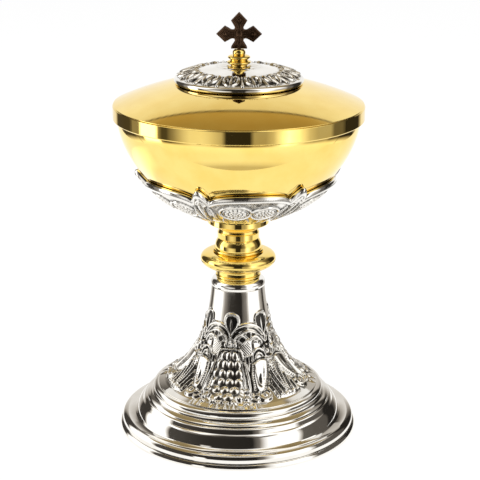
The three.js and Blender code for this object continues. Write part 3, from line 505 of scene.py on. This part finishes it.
# Black too are two diamonds between the arches, the inside of each bud on both sides of its vein, and the gaps
# between the grapes.
stain = heaped(cushion, folded, [
    ([(26, 45.6), (30.5, 47.2), (35, 45.6), (30.5, 44)], 0.3, 1),
    ([(13.6, 42.6), (19, 44.6), (25.4, 43.2), (19.6, 41.2)], 0.3, 1),
], stain)
bud_width = np.interp(cone_along, [45.4, 48.9, 51.2, 53.6, 55.6, 56.8], [0, 7.4, 11.4, 12.8, 10.6, 0])[:, None]
in_bud = clamped((bud_width - sixth) / 1.2)
vein = ridge(halved, [(0, 55.4), (0, 51.0), (0, 46.6)], (0.1, 0.6, 0.3), 1.2)
stain = np.maximum(stain, in_bud * clamped(1 - vein))
bunch_width = np.interp(cone_along, [6, 10, 20, 29, 36], [0, 15.4, 17.2, 15.2, 11.0])[:, None]
in_bunch = clamped((bunch_width - third) / 1.5) * (cone_s < 36)
stain = np.maximum(stain, 0.9 * in_bunch * clamped(1 - grapes / 0.16))
raised = blurred(raised, cone_along, cone_radius, 0.16)
cone_grid = (len(cone_section), CONE_SIDES)
cone_lift = padded(cone_grid, cone_rows, raised)
cone_piece = turned("foot_cone_embossed", cone_section, CONE_SIDES, cone_lift)
sunk = blurred(raised, cone_along, cone_radius, 0.9) - raised
cone_shade = clamped(np.maximum(1.4 * (sunk - 0.2), 0.95 * stain))
marked(cone_piece, "hollow", padded(cone_grid, cone_rows, cone_shade))
place_piece(cone_piece, "cup", oxidised_silver, "foot_cone")

# Cone collar: a half-round turning of silver-plated brass, bored for the tie rod. It caps the cone, under the
# gilded stem.
STEM_SIDES = 192
collar_section = outline(
    (ROD_BORE, 84.64), (15.0, 84.64), (15.4, 85.92), swell((15.4, 85.92), (12.7, 90.0), 0.2), (ROD_BORE, 90.0),
)
turn_piece("cone_collar", "turned", collar_section, "cup", silver, STEM_SIDES)

# Stem: five turnings of gilded brass threaded on the tie rod, which clamps them: a spool, the knop to hold the
# vessel by, its collar, a bell and a ring.
# Gilding polished to a mirror: a clear yellow that goes deeper where pieces mirror each other.
gilding = ("gold_plate", plated_metal("polished_gilding", "#fcdf84", "#f7d676", 0.03, 0.06))
stem = {
    "stem_spool": outline(
        (ROD_BORE, 90.04), (12.3, 90.04), swell((12.3, 90.3), (12.3, 92.1), 0.39), (12.3, 93.9),
        swell((12.3, 93.9), (13, 95.3), -0.1), (ROD_BORE, 95.3),
    ),
    "knop": outline(
        (ROD_BORE, 95.34), (13, 95.34), cubic((13, 95.6), (17.3, 95.6), (21.6, 98.3), (21.6, 101)),
        cubic((21.6, 101), (21.6, 103.99), (18.85, 105.4), (13, 105.4)), (ROD_BORE, 105.4),
    ),
    "knop_collar": outline(
        (ROD_BORE, 105.44), (14.1, 105.44), swell((14.1, 105.5), (14.1, 107.1), 0.25), (ROD_BORE, 107.1),
    ),
    "stem_bell": outline(
        (ROD_BORE, 107.14), (13.3, 107.14), (13.3, 107.4), swell((13.3, 107.4), (11.3, 113.5), 0.1),
        (ROD_BORE, 113.5),
    ),
    "stem_ring": outline(
        (ROD_BORE, 113.54), (11.9, 113.54), (11.9, 116.8), (11.5, 117.2), (10.9, 118.6),
        (ROD_BORE, 118.6),
    ),
}
for cad_node, section in stem.items():
    turn_piece(cad_node, "turned", section, "cup", gilding, STEM_SIDES)

# Cup flange: a saucer turned from brass and gilded, bored out for the bowl's socket. The calyx and the bowl
# rest on it.
flange_section = outline(
    (8.9, 118.64), (10.9, 118.64), swell((10.9, 118.9), (17.0, 122.02), -0.16), (17.4, 122.42),
    (17.2, 125.22), (9.0, 124.4),
)
turn_piece("cup_flange", "turned", flange_section, "cup", gilding, STEM_SIDES)

# Tie rod with its steel washer, and what is turned from brass: its nut, the bowl's socket, and the stud, washer
# and nut of the finial. They draw the vessel together and are seen only from below, if at all.
# Turned brass left as it was cut, a dull yellow; and the rod's dull grey steel.
turned_brass = plated_metal("turned_brass", "#c9ab68", "#b2945a", 0.22, 0.38)
rod_steel = plated_metal("rod_steel", "#b0b0ae", "#94948f", 0.28, 0.45)
for material, cad_nodes in [
    (rod_steel, ["tie_rod", "rod_washer"]),
    (turned_brass, ["rod_nut", "bowl_socket", "finial_stud", "finial_washer", "finial_nut"]),
]:
    for cad_node in cad_nodes:
        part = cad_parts[cad_node]
        part.data.materials.clear()
        part.data.materials.append(material)

# Calyx: a shell of sheet brass embossed from inside, silver-plated and oxidised. Its lip is cut into six lobes
# with a bud between each two. The bowl stands in it.
MOUTH = 182.54
BOWL_RADIUS_POWER = 1.825
BOWL_HEIGHT_POWER = 1.69


def bowl_side(radius, depth, from_depth, flat_radius, steps):
    """Down the side of a bowl: R = radius cos(u)^(2/1.825) and depth below the mouth = depth sin(u)^(2/1.69),
    with u from the starting depth to the edge of the flat bottom."""
    start = np.arcsin((from_depth / depth) ** (BOWL_HEIGHT_POWER / 2))
    end = np.arccos((flat_radius / radius) ** (BOWL_RADIUS_POWER / 2))
    u = np.linspace(start, end, steps)
    across = radius * np.cos(u) ** (2 / BOWL_RADIUS_POWER)
    return np.column_stack([across, MOUTH - depth * np.sin(u) ** (2 / BOWL_HEIGHT_POWER)])


CALYX_SIDES = 640
CALYX_ROWS = 116
CALYX_SHEET = 1.2
CALYX_LIP = 2.6    # the lip is folded over, towards the bowl
calyx_side = np.vstack([[(9, 124.7)], bowl_side(71.3, 59.6, 22, 13.73, 160)[::-1]])
calyx_length = np.r_[0, np.cumsum(np.hypot(*np.diff(calyx_side, axis=0).T))]
calyx_length -= np.interp(20, calyx_side[:, 0], calyx_length)
calyx_tangent = np.gradient(calyx_side, axis=0)
calyx_tangent /= np.hypot(*calyx_tangent.T)[:, None]


def calyx_place(along):
    """Point, tangent and outward normal of the calyx, so far up its side from where its radius is 20 mm."""
    point = [np.interp(along, calyx_length, calyx_side[:, k]) for k in (0, 1)]
    tangent = [np.interp(along, calyx_length, calyx_tangent[:, k]) for k in (0, 1)]
    return np.array(point), np.array(tangent), np.array([tangent[1], -tangent[0]])


def calyx_lip(degrees):
    """Height of the lip up the side: a broad rounded lobe 52 degrees wide, then a narrow pointed bud, six times
    round. degrees are counted from the middle of a bud."""
    from_lobe = np.abs(wrapped(degrees - 30, 60)) / 26.5
    lobe = 34.6 + 8.2 * np.sqrt(clamped(1 - from_lobe**2.8))
    from_bud = np.abs(wrapped(degrees, 60)) / 6
    bud = 34.6 + 12.2 * clamped(1 - from_bud**1.7) ** 0.8
    return np.maximum(lobe, bud)


calyx_degrees = wrapped(np.arange(CALYX_SIDES) * 360 / CALYX_SIDES + 22.5, 60)
lip = calyx_lip(calyx_degrees)
climb = np.linspace(0, 1, CALYX_ROWS)[:, None]
calyx_s = climb * lip
calyx_point, _, calyx_normal = calyx_place(calyx_s)
calyx_field = (np.broadcast_to(calyx_degrees % 60, calyx_s.shape), calyx_s, calyx_point[0])
lip_degrees = np.linspace(-10, 70, 481)
lip_path = np.column_stack([lip_degrees, calyx_lip(lip_degrees)])
from_lip = np.concatenate([
    np.sqrt(squared_gap([part[rows] for part in calyx_field], lip_path).min(-1))
    for rows in np.array_split(range(CALYX_ROWS), 8)
])
# A bead runs along the lip.
raised = 0.9 * np.sqrt(np.clip(1 - ((from_lip - 1.1) / 1.15) ** 2, 0, None))


def round_path(centre, across, along, points=24):
    """Points of an ellipse, for a ridge: half sizes in degrees across and mm along."""
    angle = np.linspace(0, 2 * pi, points)
    return np.column_stack([centre[0] + across * np.sin(angle), centre[1] + along * np.cos(angle)])


# Two medallions on each lobe, each a moulded ring round a cluster of fruit and leaves.
MM_PER_DEGREE = 0.8
for centre, size in [((20.6, 28.6), 8.6), ((41, 27.4), 7.9)]:
    turn = size / MM_PER_DEGREE
    raised = heaped(ridge, calyx_field, [
        (round_path(centre, turn, size), 0.7, 1.1),
        (round_path(centre, 0.78 * turn, 0.78 * size), 0.4, 0.8),
    ], raised)
    for count, share, grain in [(14, 0.58, 0.85), (9, 0.34, 0.8), (5, 0.15, 0.7)]:
        places = round_path(centre, share * turn, share * size, count + 1)[:-1]
        grains = [(place, grain * 1.2, grain * 1.5, 1.25) for place in places]
        raised = heaped(boss, calyx_field, grains, raised)
# A bud with two side leaves and three berries stands on each side of the lobe.
for side in (0, 60):
    raised = heaped(ridge, calyx_field, [
        ([(side + 0.2, 42.5), (side - 1.4, 34), (side - 2.6, 24), (side - 3.4, 14)],
         (1.2, 1.9, 1.2, 0.6), 1.2),
        ([(side + 3.6, 35), (side + 4.6, 26), (side + 4.4, 18)], (0.6, 1.3, 0.6), 1),
        ([(side - 5.6, 34), (side - 7.4, 26), (side - 7.6, 17)], (0.6, 1.4, 0.6), 1),
        ([(side - 2.4, 40), (side - 0.2, 42), (side + 2.2, 39.6)], 0.5, 1.4),
    ], raised)
    berries = [(side + 0.4, 44.6), (side - 1.9, 38.4), (side + 1.9, 37.2)]
    raised = heaped(boss, calyx_field, [(berry, 1.1, 1.3, 1.5) for berry in berries], raised)
petals = [([(at, 5), (at, 12), (at, 18.5)], (0.4, 1.5, 0.5), 0.7) for at in (10, 20, 30, 40, 50)]
raised = heaped(ridge, calyx_field, petals, raised)
outer = calyx_point + raised * calyx_normal
lip_point, lip_up, lip_normal = calyx_place(lip[None])
roll = np.radians([30, 60, 90, 120, 150])[:, None]
half = CALYX_LIP / 2
lip_roll = [
    lip_point[k] + half * ((np.cos(roll) - 1) * lip_normal[k] + np.sin(roll) * lip_up[k]) for k in (0, 1)
]
inner_climb = np.linspace(1, 0, 14)[:, None]
inner_point, _, inner_normal = calyx_place(inner_climb * lip)
inner = inner_point - np.interp(inner_climb, [0.5, 0.85], [CALYX_SHEET, CALYX_LIP]) * inner_normal
floor_rows = np.array([[(9, 124.7), (13.6, 124.7)], [(13.6, 125.9), (9, 125.9)]])
level_rows = np.broadcast_to(floor_rows[..., None], (2, 2, 2, CALYX_SIDES))
calyx_radius = np.vstack([level_rows[0, :, 0], outer[0], lip_roll[0], inner[0], level_rows[1, :, 0]])
calyx_height = np.vstack([level_rows[0, :, 1], outer[1], lip_roll[1], inner[1], level_rows[1, :, 1]])
calyx_piece = carried("calyx_embossed", calyx_radius, calyx_height)
mean_s = calyx_s.mean(1)
calyx_shade = clamped((blurred(raised, mean_s, calyx_point[0].mean(1), 1) - raised) * 2.6)
marked(calyx_piece, "hollow", padded(calyx_radius.shape, slice(2, 2 + CALYX_ROWS), calyx_shade))
place_piece(calyx_piece, "cup", oxidised_silver, "calyx")

# Bowl: sheet brass spun deep and gilded inside and out. It stands in the calyx, and the socket under it takes
# the tie rod.
bowl_outside = bowl_side(67.5, 58.1, 0, 13, 90)[::-1]
bowl_inside = bowl_side(66.3, 56.9, 0, 12.77, 60)
bowl_points = outline(
    (0, bowl_outside[0, 1]), bowl_outside, bowl_inside, (0, bowl_inside[-1, 1]), ease=0.2,
)
turn_piece("bowl", "spun", bowl_points, "cup", gilding)

# Lid band and bezel: two rings turned from brass, gilded and soldered together. The band closes on the bowl's
# rim, and the bezel drops inside it.
band_section = outline(
    (64, 182.84), (69.5, 182.84), (70, 183.34), (70, 190.14), (69.5, 190.64), (68.6, 190.64), (68.6, 184.24),
    (64, 184.24),
)
bezel_section = outline((63.7, 177.04), (64.7, 177.04), (64.7, 184.24), (63.7, 184.24), ease=0.3)
turn_piece("lid_band", "turned", band_section, "lid", gilding)
turn_piece("lid_bezel", "turned", bezel_section, "lid", gilding)

# Lid dome: a shallow spinning of gilded sheet brass, soldered into the band and bored for the finial's stud.
# Outside it is part of a sphere.
DOME_CURVE = 168
DOME_SHEET = 1.2
DOME_CENTRE = 38.08
STUD_BORE = 2.5


def dome_arc(curve, from_radius, to_radius, steps):
    """Arc of a sphere of that radius about the dome's centre, between two distances from the axis."""
    radius = np.linspace(from_radius, to_radius, steps)
    return np.column_stack([radius, DOME_CENTRE + np.sqrt(curve**2 - radius**2)])


dome_outside = dome_arc(DOME_CURVE, 69.7, STUD_BORE, 60)
dome_inside = dome_arc(DOME_CURVE - DOME_SHEET, STUD_BORE, 66.8, 40)
dome_section = outline((66.8, 190.68), (69.7, 190.68), dome_outside, dome_inside)
turn_piece("lid_dome", "spun", dome_section, "lid", gilding)

# Disc seat: a ring of wedge-shaped section, turned from brass, gilded and soldered on the dome. It carries the
# silver disc.
seat_section = outline((30.6, 203.55), (34.1, 202.9), (34.1, 204.8), (30.6, 205.99))
turn_piece("disc_seat", "turned", seat_section, "lid", gilding)

# Lid disc: a pressing of silver-plated and oxidised brass with a rolled rim and a border of leaves. The finial
# clamps it to its seat.
DISC_SIDES = 900
disc_section = outline(
    (34.9, 202.9), (35.6, 202.9), (35.9, 203.68), swell((35.9, 203.68), (34.4, 206), 0.22),
    np.linspace((34.4, 206), (25.3, 209.1), 50), np.linspace((25.3, 209.1), (13.3, 211.4), 12),
    np.linspace((13.3, 211.4), (STUD_BORE, 211.7), 24), (STUD_BORE, 210.7), (13.3, 210.4), (25.3, 208.1),
    (34.4, 205),
)
LEAVES = 15
disc_rows, disc_along, disc_radius = embossed_rows(disc_section, (34.4, 206), (STUD_BORE, 211.7))
disc_degrees = wrapped(np.arange(DISC_SIDES) * 360 / DISC_SIDES + 8.5, 360 / LEAVES)
disc_field = field_of(np.abs(disc_degrees), disc_along, disc_radius)
# Each leaf is a vein between two curled edges; a dart with a berry stands between it and the next.
raised = heaped(ridge, disc_field, [
    ([(0, 1), (0, 5.6), (0, 10.2)], (0.5, 1, 0.3), 1.2),
    ([(2.4, 1.2), (6.2, 3.8), (8, 7.6), (5.6, 11), (2.2, 11.2)], (0.5, 0.95, 0.9, 0.6), 1.3),
    ([(3.4, 6.2), (4.6, 8.6)], 0.4, 0.8),
    ([(12, 0.8), (12, 5), (12, 10.6)], (1, 0.7, 0.2), 1.1),
])
raised = heaped(boss, disc_field, [((12, 1.8), 1.1, 1, 0.9)], raised)
# A small rosette lies round the foot of the finial.
petal = np.abs(np.sin(np.radians(np.arange(DISC_SIDES) * 360 / DISC_SIDES) * 6))
from_axis = disc_field[2]
rosette = 0.7 * np.sqrt(np.clip(1 - ((from_axis - 8.6) / 3.6) ** 2, 0, None)) * (0.35 + 0.65 * petal)
raised = np.maximum(raised, rosette)
raised = blurred(raised, disc_along, disc_radius, 0.12)
disc_grid = (len(disc_section), DISC_SIDES)
disc_lift = padded(disc_grid, disc_rows, raised)
disc_piece = turned("lid_disc_pressed", disc_section, DISC_SIDES, disc_lift)
disc_shade = clamped((blurred(raised, disc_along, disc_radius, 0.8) - raised) * 1.4)
border = clamped((disc_field[1] - 1) / 0.8) * clamped((12.4 - disc_field[1]) / 1.5)
disc_shade = np.maximum(disc_shade, 0.95 * border * clamped(1.2 - raised / 0.4))
marked(disc_piece, "hollow", padded(disc_grid, disc_rows, disc_shade))
place_piece(disc_piece, "lid", oxidised_silver, "lid_disc")

# Finial: turned from brass with two rings and a ball, and gilded. It is tapped for its stud and bored for the
# tang of the cross.
finial_section = outline(
    (STUD_BORE, 211.74), (4.7, 211.74), (4.7, 212.6), swell((4.9, 212.6), (4.9, 214.9), 0.72), (4.8, 215.2),
    swell((5, 215.4), (4.8, 217.6), 0.6), (3.2, 217.8),
    cubic((3.2, 217.8), (3.9, 218.7), (3.7, 220.4), (2.3, 221)), (0, 221), (0, 216.3), (STUD_BORE, 216.3),
)
FINIAL_SIDES = 128
turn_piece("finial", "turned", finial_section, "lid", gilding, FINIAL_SIDES)

# Cross: cast bronze with four flared and pointed arms, held by a tang in the finial. A border runs round its
# bevelled edge, a finer line inside that, and a small boss sits in each arm and at the crossing.
# Brown patina: nearly black from afar, reddish brown where it catches the light.
patina = ("dark_bronze", plated_metal("brown_patina_bronze", "#67503f", "#3c2b20", 0.22, 0.36))
CROSS_MIDDLE = 229.29
arm_edge = cubic((-4.45, 7.3), (-0.585, 2.57), (-2.57, 0.585), (-7.8, 4.45), 30)
foot_edge = cubic((-7.8, -4.45), (-2.57, -0.585), (-0.585, -2.57), (-4.4, -7.1), 30)
tang = [(-4.4, -8), (-1, -8), (-1, -10.5), (0, -10.5)]
half_cross = np.vstack([(0, 12), arm_edge, (-12.5, 0), foot_edge, tang])
whole_cross = np.vstack([half_cross, half_cross[-2:0:-1] * (-1, 1)])
way_round = np.r_[0, np.cumsum(np.hypot(*(np.roll(whole_cross, -1, 0) - whole_cross).T))]
at = np.linspace(0, way_round[-1], 720, endpoint=False)
looped = np.vstack([whole_cross, whole_cross[:1]])
cross_edge = np.column_stack([np.interp(at, way_round, looped[:, 0]), np.interp(at, way_round, looped[:, 1])])
# Rings of points shrink from the edge to the middle; the height follows from how far in a point lies.
share = 1 - (1 - np.linspace(0, 1, 64)) ** 1.7
flat_points = share[:, None, None] * cross_edge
inward = np.sqrt(((flat_points[:, :, None] - cross_edge[None, None, ::4]) ** 2).sum(-1).min(-1))
CROSS_FACE = 1.2
bevel = np.interp(
    inward, [0, 0.12, 0.55, 0.65, 1, 1.15, 1.7, 1.8, 1.95, 2.05],
    [0.95, 1, 1.4, 1.42, 1.42, CROSS_FACE, CROSS_FACE, 1.27, 1.27, CROSS_FACE],
)
cross_bosses = [
    ((0, 0), 1.5, 0.3), ((0, 7.6), 0.8, 0.25), ((8, 0), 0.8, 0.25), ((-8, 0), 0.8, 0.25), ((0, -5.6), 0.7, 0.2),
]
for centre, size, height in cross_bosses:
    gap = ((flat_points - centre) ** 2).sum(-1) / size**2
    bevel = np.maximum(bevel, CROSS_FACE + height * np.sqrt(np.clip(1 - gap, 0, None)) - (gap > 1))
front = np.stack([flat_points[..., 0], -bevel, CROSS_MIDDLE + flat_points[..., 1]], -1)
back = front[::-1] * (1, -1, 1)
cross_piece = grid_mesh("cross_cast", np.vstack([front, back])[:, ::-1], closed=False)
place_piece(cross_piece, "lid", patina, "cross")

# Studio floor: a sheet of white paper, six metres square, on which the ciborium stands. It keeps the
# ciborium's soft shadow.


def sheet_mesh(name, points):
    """Mesh from an open grid of points in mm."""
    rows, columns = points.shape[:2]
    index = np.arange(rows * columns).reshape(rows, columns)
    corner = [index[:-1, :-1], index[:-1, 1:], index[1:, 1:], index[1:, :-1]]
    quads = np.stack(corner, -1).reshape(-1, 4)
    mesh = bpy.data.meshes.new(name)
    mesh.from_pydata((points.reshape(-1, 3) / 1000).tolist(), [], quads.tolist())
    piece = linked(name, mesh)
    return piece


FLOOR_HALF = 3000.0
floor_corners = np.array([[(-1, -1, 0), (1, -1, 0)], [(-1, 1, 0), (1, 1, 0)]])
floor = sheet_mesh("studio_floor", FLOOR_HALF * floor_corners)
# White paper, lit from within for the camera so that only the shadow shows on it.
floor_paper, tree = new_material("white_floor_paper")
seen = node(tree, "LightPath").outputs["Is Camera Ray"]
paper = node(tree, "BsdfDiffuse", Color=linear("#5c5c5c"))
glow = node(tree, "Emission", Color=linear("#ffffff"), Strength=0.91)
both = node(tree, "AddShader", i0=paper.outputs[0], i1=glow.outputs[0])
plain = node(tree, "BsdfDiffuse", Color=linear("#f0f0f0"))
surface = node(tree, "MixShader", i0=seen, i1=plain.outputs[0], i2=both.outputs[0])
node(tree, "OutputMaterial", Surface=surface.outputs[0])
floor.data.materials.append(floor_paper)
floor.visible_glossy = False

# Studio reflections: what the polished metal mirrors, and only that. White, grey and black panels stand all
# round; a lit table lies below, and low flags round the foot give its silver dark streaks.


def panel_glow(tree):
    """Light of a panel: its level, nearly white, a little warmer where dim, brown where it is marked warm."""
    strength = node(tree, "Attribute", {"attribute_name": "level"}).outputs["Fac"]
    stops = [(0.03, "#fff2e2"), (0.4, "#fff6ea"), (1.0, "#fffefc")]
    hue = node(tree, "ValToRGB", stops=stops, Fac=strength).outputs["Color"]
    warm = node(tree, "Attribute", {"attribute_name": "warm"}).outputs["Fac"]
    hue = node(tree, "Mix", {"data_type": "RGBA"}, i0=warm, i6=hue, i7=linear("#ffe1a2")).outputs[2]
    return node(tree, "Emission", Color=hue, Strength=strength).outputs[0]


tent_cloth, tree = new_material("tent_panels")
node(tree, "OutputMaterial", Surface=panel_glow(tree))
# The low flags are seen from below only, so that the bowl above looks past them at the table.
flag_cloth, tree = new_material("low_flags")
above = node(tree, "NewGeometry").outputs["Backfacing"]
clear = node(tree, "BsdfTransparent")
surface = node(tree, "MixShader", i0=above, i1=panel_glow(tree), i2=clear.outputs[0])
node(tree, "OutputMaterial", Surface=surface.outputs[0])


def mirrored_only(piece, material, level, warm=0):
    """Gives a panel its brightness and warmth, point by point, and leaves it to reflections alone."""
    marked(piece, "level", level)
    marked(piece, "warm", warm + 0 * level)
    piece.data.materials.append(material)
    piece.visible_camera = piece.visible_diffuse = piece.visible_shadow = False
    piece.visible_transmission = piece.visible_volume_scatter = False


def band_of_light(degrees, *stops):
    """Level at each azimuth, straight between stops of (degrees to the right of the front, level)."""
    return np.interp(degrees, *np.array(stops, float).T)


around = np.linspace(-180, 180, 721)
rise = np.linspace(-80, 88, 169)[:, None]
TENT_RADIUS = 5000.0
PANEL = 1.35    # level of the white panels that the silver mirrors
turn, tilt = np.radians(around), np.radians(rise)
tent_points = [np.cos(tilt) * np.sin(turn), -np.cos(tilt) * np.cos(turn), np.sin(tilt) + 0 * turn]
tent_points = TENT_RADIUS * np.stack(tent_points, -1)
# At the camera's height, as the lid's band mirrors it.
side_levels = band_of_light(
    around, (-180, 1), (-158, 1), (-147, 0.9), (-141, 0.07), (-115, 0.07), (-110, 0.3), (-101, 0.3),
    (-97, 3.2), (-80, 3.2), (-76, 0.3), (-72, 0.08), (-67, 0.08), (-64, 0.2), (-59, 0.35), (-51, 0.7),
    (-44, 0.95), (-33, 1), (-25, 0.86), (-15, 0.55), (-11, 0.03), (10, 0.03), (14, 0.45), (24, 0.45),
    (31, 0.68), (39, 1.4), (45, 2.4), (51, 1.8), (58, 1.2), (66, 0.72), (75, 0.5), (90, 0.5), (95, 0.16),
    (106, 0.16), (113, 0.03), (137, 0.03), (147, 1), (180, 1),
)
# Below the table's edge, as the bowl mirrors it.
low_levels = np.interp(-rise, [22, 34, 44, 49, 53, 80], [1.25, 1.12, 1.1, 0.92, 0.66, 0.62])
# A dark line crosses the ceiling behind, bowed like its edge. Past it the ceiling is brown and dim.
line_height = 50.6 - 0.0133 * (180 - np.abs(around)) ** 2
past_line = rise - line_height
ceiling = [1, 0.84, 0.84, 0.78, 0.5, 0.38, 0.33, 0.3]
top_levels = np.interp(past_line, [-19, -14, -5, -0.7, 0.7, 10, 22, 40], ceiling)
# Behind, the bright ceiling starts low. In front the dark gap round the camera reaches far up.
front_share = clamped((100 - np.abs(around)) / 20)
high_levels = band_of_light(
    around, (-100, PANEL), (-62, PANEL), (-58, 0.8), (-50, 0.32), (-43, 0.2), (-36, 0.1), (-28, 0.045),
    (-8, 0.03), (14, 0.03), (19, 0.14), (32, 0.3), (38, 0.8), (43, PANEL), (88, PANEL), (100, 0.5),
)
front_levels = side_levels + (high_levels - side_levels) * clamped((rise - 4) / 10)
over_front = clamped((rise - 70) / 12)
front_levels = front_levels * (1 - over_front) + 0.75 * over_front
up_share = clamped((rise - 30) / 16)
low_share = clamped((-16 - rise) / 5)
back_levels = side_levels * (1 - up_share) + top_levels * up_share
tent_level = front_levels * front_share + back_levels * (1 - front_share)
tent_level = tent_level * (1 - low_share) + low_levels * low_share
dark_line = clamped(1 - np.abs(past_line) / 1.2)
tent_level = tent_level * (1 - 0.85 * dark_line * (1 - front_share))
warmth = np.clip(0.2 + past_line, 0.1, 1) * clamped((rise - 38) / 8) * (1 - front_share)
mirrored_only(sheet_mesh("studio_tent", tent_points), tent_cloth, tent_level, warmth)

# The table ends in front of the foot and curves back at its sides. A bright patch on its left is a painted pool
# of lamp light in its glow.
TABLE_FRONT, TABLE_BACK, TABLE_HALF, TABLE_TOP = -162.0, 700.0, 420.0, 0.05
across = np.linspace(-TABLE_HALF, TABLE_HALF, 141)
away = np.linspace(0, 1, 121)[:, None]
front_edge = TABLE_FRONT + np.where(across < 0, 4.4e-4, 8.7e-4) * across**2
table_y = front_edge + (TABLE_BACK - front_edge) * away
table_points = np.stack([across + 0 * away, table_y, TABLE_TOP + 0 * table_y], -1)
table_azimuth = np.degrees(np.arctan2(table_points[..., 0], -table_points[..., 1]))
table_reach = np.hypot(table_points[..., 0], table_points[..., 1])
# Painted pool of light: the table glows brighter in a patch at the left, as if a lamp shone there.
painted_lamp_pool = clamped(1 - ((table_azimuth + 127) / 34) ** 2)
painted_lamp_pool = painted_lamp_pool * clamped(1 - ((table_reach - 290) / 95) ** 2)
mirrored_only(sheet_mesh("studio_table", table_points), tent_cloth, 1.12 + 0.6 * painted_lamp_pool)


def low_flag(name, near, far, level):
    """A skirt round the foot, falling outwards from the near (radius, height) to the far one. level gives its
    brightness, row by row from the near edge to the far one."""
    edges = np.linspace(near, far, len(level))[:, None]
    reach, height = edges[..., 0], edges[..., 1]
    points = np.stack([reach * np.sin(turn), -reach * np.cos(turn), height + 0 * turn], -1)
    mirrored_only(sheet_mesh(name, points), flag_cloth, level)


# The upper flags are what the cone mirrors, the lower ones what the foot does.
cone_flags = band_of_light(
    around, (-180, 0.75), (-150, 0.7), (-140, 0.35), (-131, 0.12), (-121, 0.1), (-113, 0.9), (-107, PANEL),
    (-62, PANEL), (-58, 0.8), (-50, 0.32), (-43, 0.2), (-36, 0.1), (-28, 0.045), (-4, 0.03), (13, 0.02),
    (17, 0.12), (31, 0.25), (38, 0.8), (41, PANEL), (86, PANEL), (93, 0.5), (108, 0.25), (113, 0.04),
    (121, 0.04), (127, 0.5), (150, 0.6), (180, 0.75),
)
low_flag("cone_flags", (88, 74), (210, 2), np.stack([cone_flags, cone_flags]))
foot_flags = band_of_light(
    around, (-180, 0.9), (-125, 0.8), (-113, 0.5), (-107, 0.05), (-91, 0.05), (-86, PANEL), (-60, PANEL),
    (-55, 0.07), (-35, 0.05), (-18.5, 0.03), (11, 0.02), (16, 0.2), (20, 0.9), (24, PANEL), (47, PANEL),
    (53, 0.12), (84, 0.1), (88, 0.02), (104, 0.02), (111, 0.15), (125, 0.8), (180, 0.9),
)
# A painted reflection of a small window, low at the left: a brighter patch in the foot flags' glow.
FLAG_TOP, FLAG_FOOT, PAINTED_WINDOW_TOP, PAINTED_WINDOW_LEVEL = 34, 1, 13, 1.4
flag_height = np.linspace(FLAG_TOP, FLAG_FOOT, 34)[:, None]
painted_window = clamped((around + 28) / 2) * clamped((-18.5 - around) / 2)
painted_window = painted_window * clamped((PAINTED_WINDOW_TOP - flag_height) / 3)
low_flag("foot_flags", (73, FLAG_TOP), (100, FLAG_FOOT), foot_flags + PAINTED_WINDOW_LEVEL * painted_window)

# Studio light: a white world, plain white where it is seen or mirrored, and three soft lamps: the main one at
# the left, a weaker one at the right, and one above.
world = bpy.data.worlds.new("studio_world")
bpy.context.scene.world = world
world.use_nodes = True
tree = world.node_tree
tree.nodes.clear()
light_path = node(tree, "LightPath").outputs
seen = light_path["Is Camera Ray"]
for ray in ("Is Glossy Ray", "Is Transmission Ray"):
    seen = node(tree, "Math", {"operation": "MAXIMUM"}, i0=seen, i1=light_path[ray]).outputs[0]
dim = node(tree, "Background", Color=linear("#ffffff"), Strength=0.6)
white = node(tree, "Background", Color=linear("#ffffff"), Strength=1.0)
sky = node(tree, "MixShader", i0=seen, i1=dim.outputs[0], i2=white.outputs[0])
node(tree, "OutputWorld", Surface=sky.outputs[0])

for name, place, tilted, size, power in [
    ("key_lamp", (-0.9, -0.9, 1.2), (50, 0, -45), 0.8, 14),
    ("fill_lamp", (1.0, -0.8, 1.0), (52, 0, 51), 0.9, 8),
    ("top_lamp", (0.0, 0.3, 1.6), (-10, 0, 0), 1.0, 10),
]:
    lamp = bpy.data.lights.new(name, "AREA")
    lamp.size = size
    lamp.energy = power
    holder = linked(name, lamp)
    holder.location = place
    holder.rotation_euler = [radians(angle) for angle in tilted]
    holder.visible_glossy = False

# Camera: a long lens, a little above the lid, turned down to the middle of the ciborium and rolled by a quarter
# of a degree.
lens = bpy.data.cameras.new("camera")
lens.lens = 108.5
lens.sensor_width = 36.0
camera = linked("camera", lens)
camera.location = (0.00097, -0.7894, 0.3557)
camera.rotation_mode = "XYZ"
camera.rotation_euler = (radians(72.79), 0, 0)
camera.rotation_euler.rotate_axis("Z", radians(0.25))
bpy.context.scene.camera = camera
bpy.context.scene.view_settings.view_transform = "Standard"
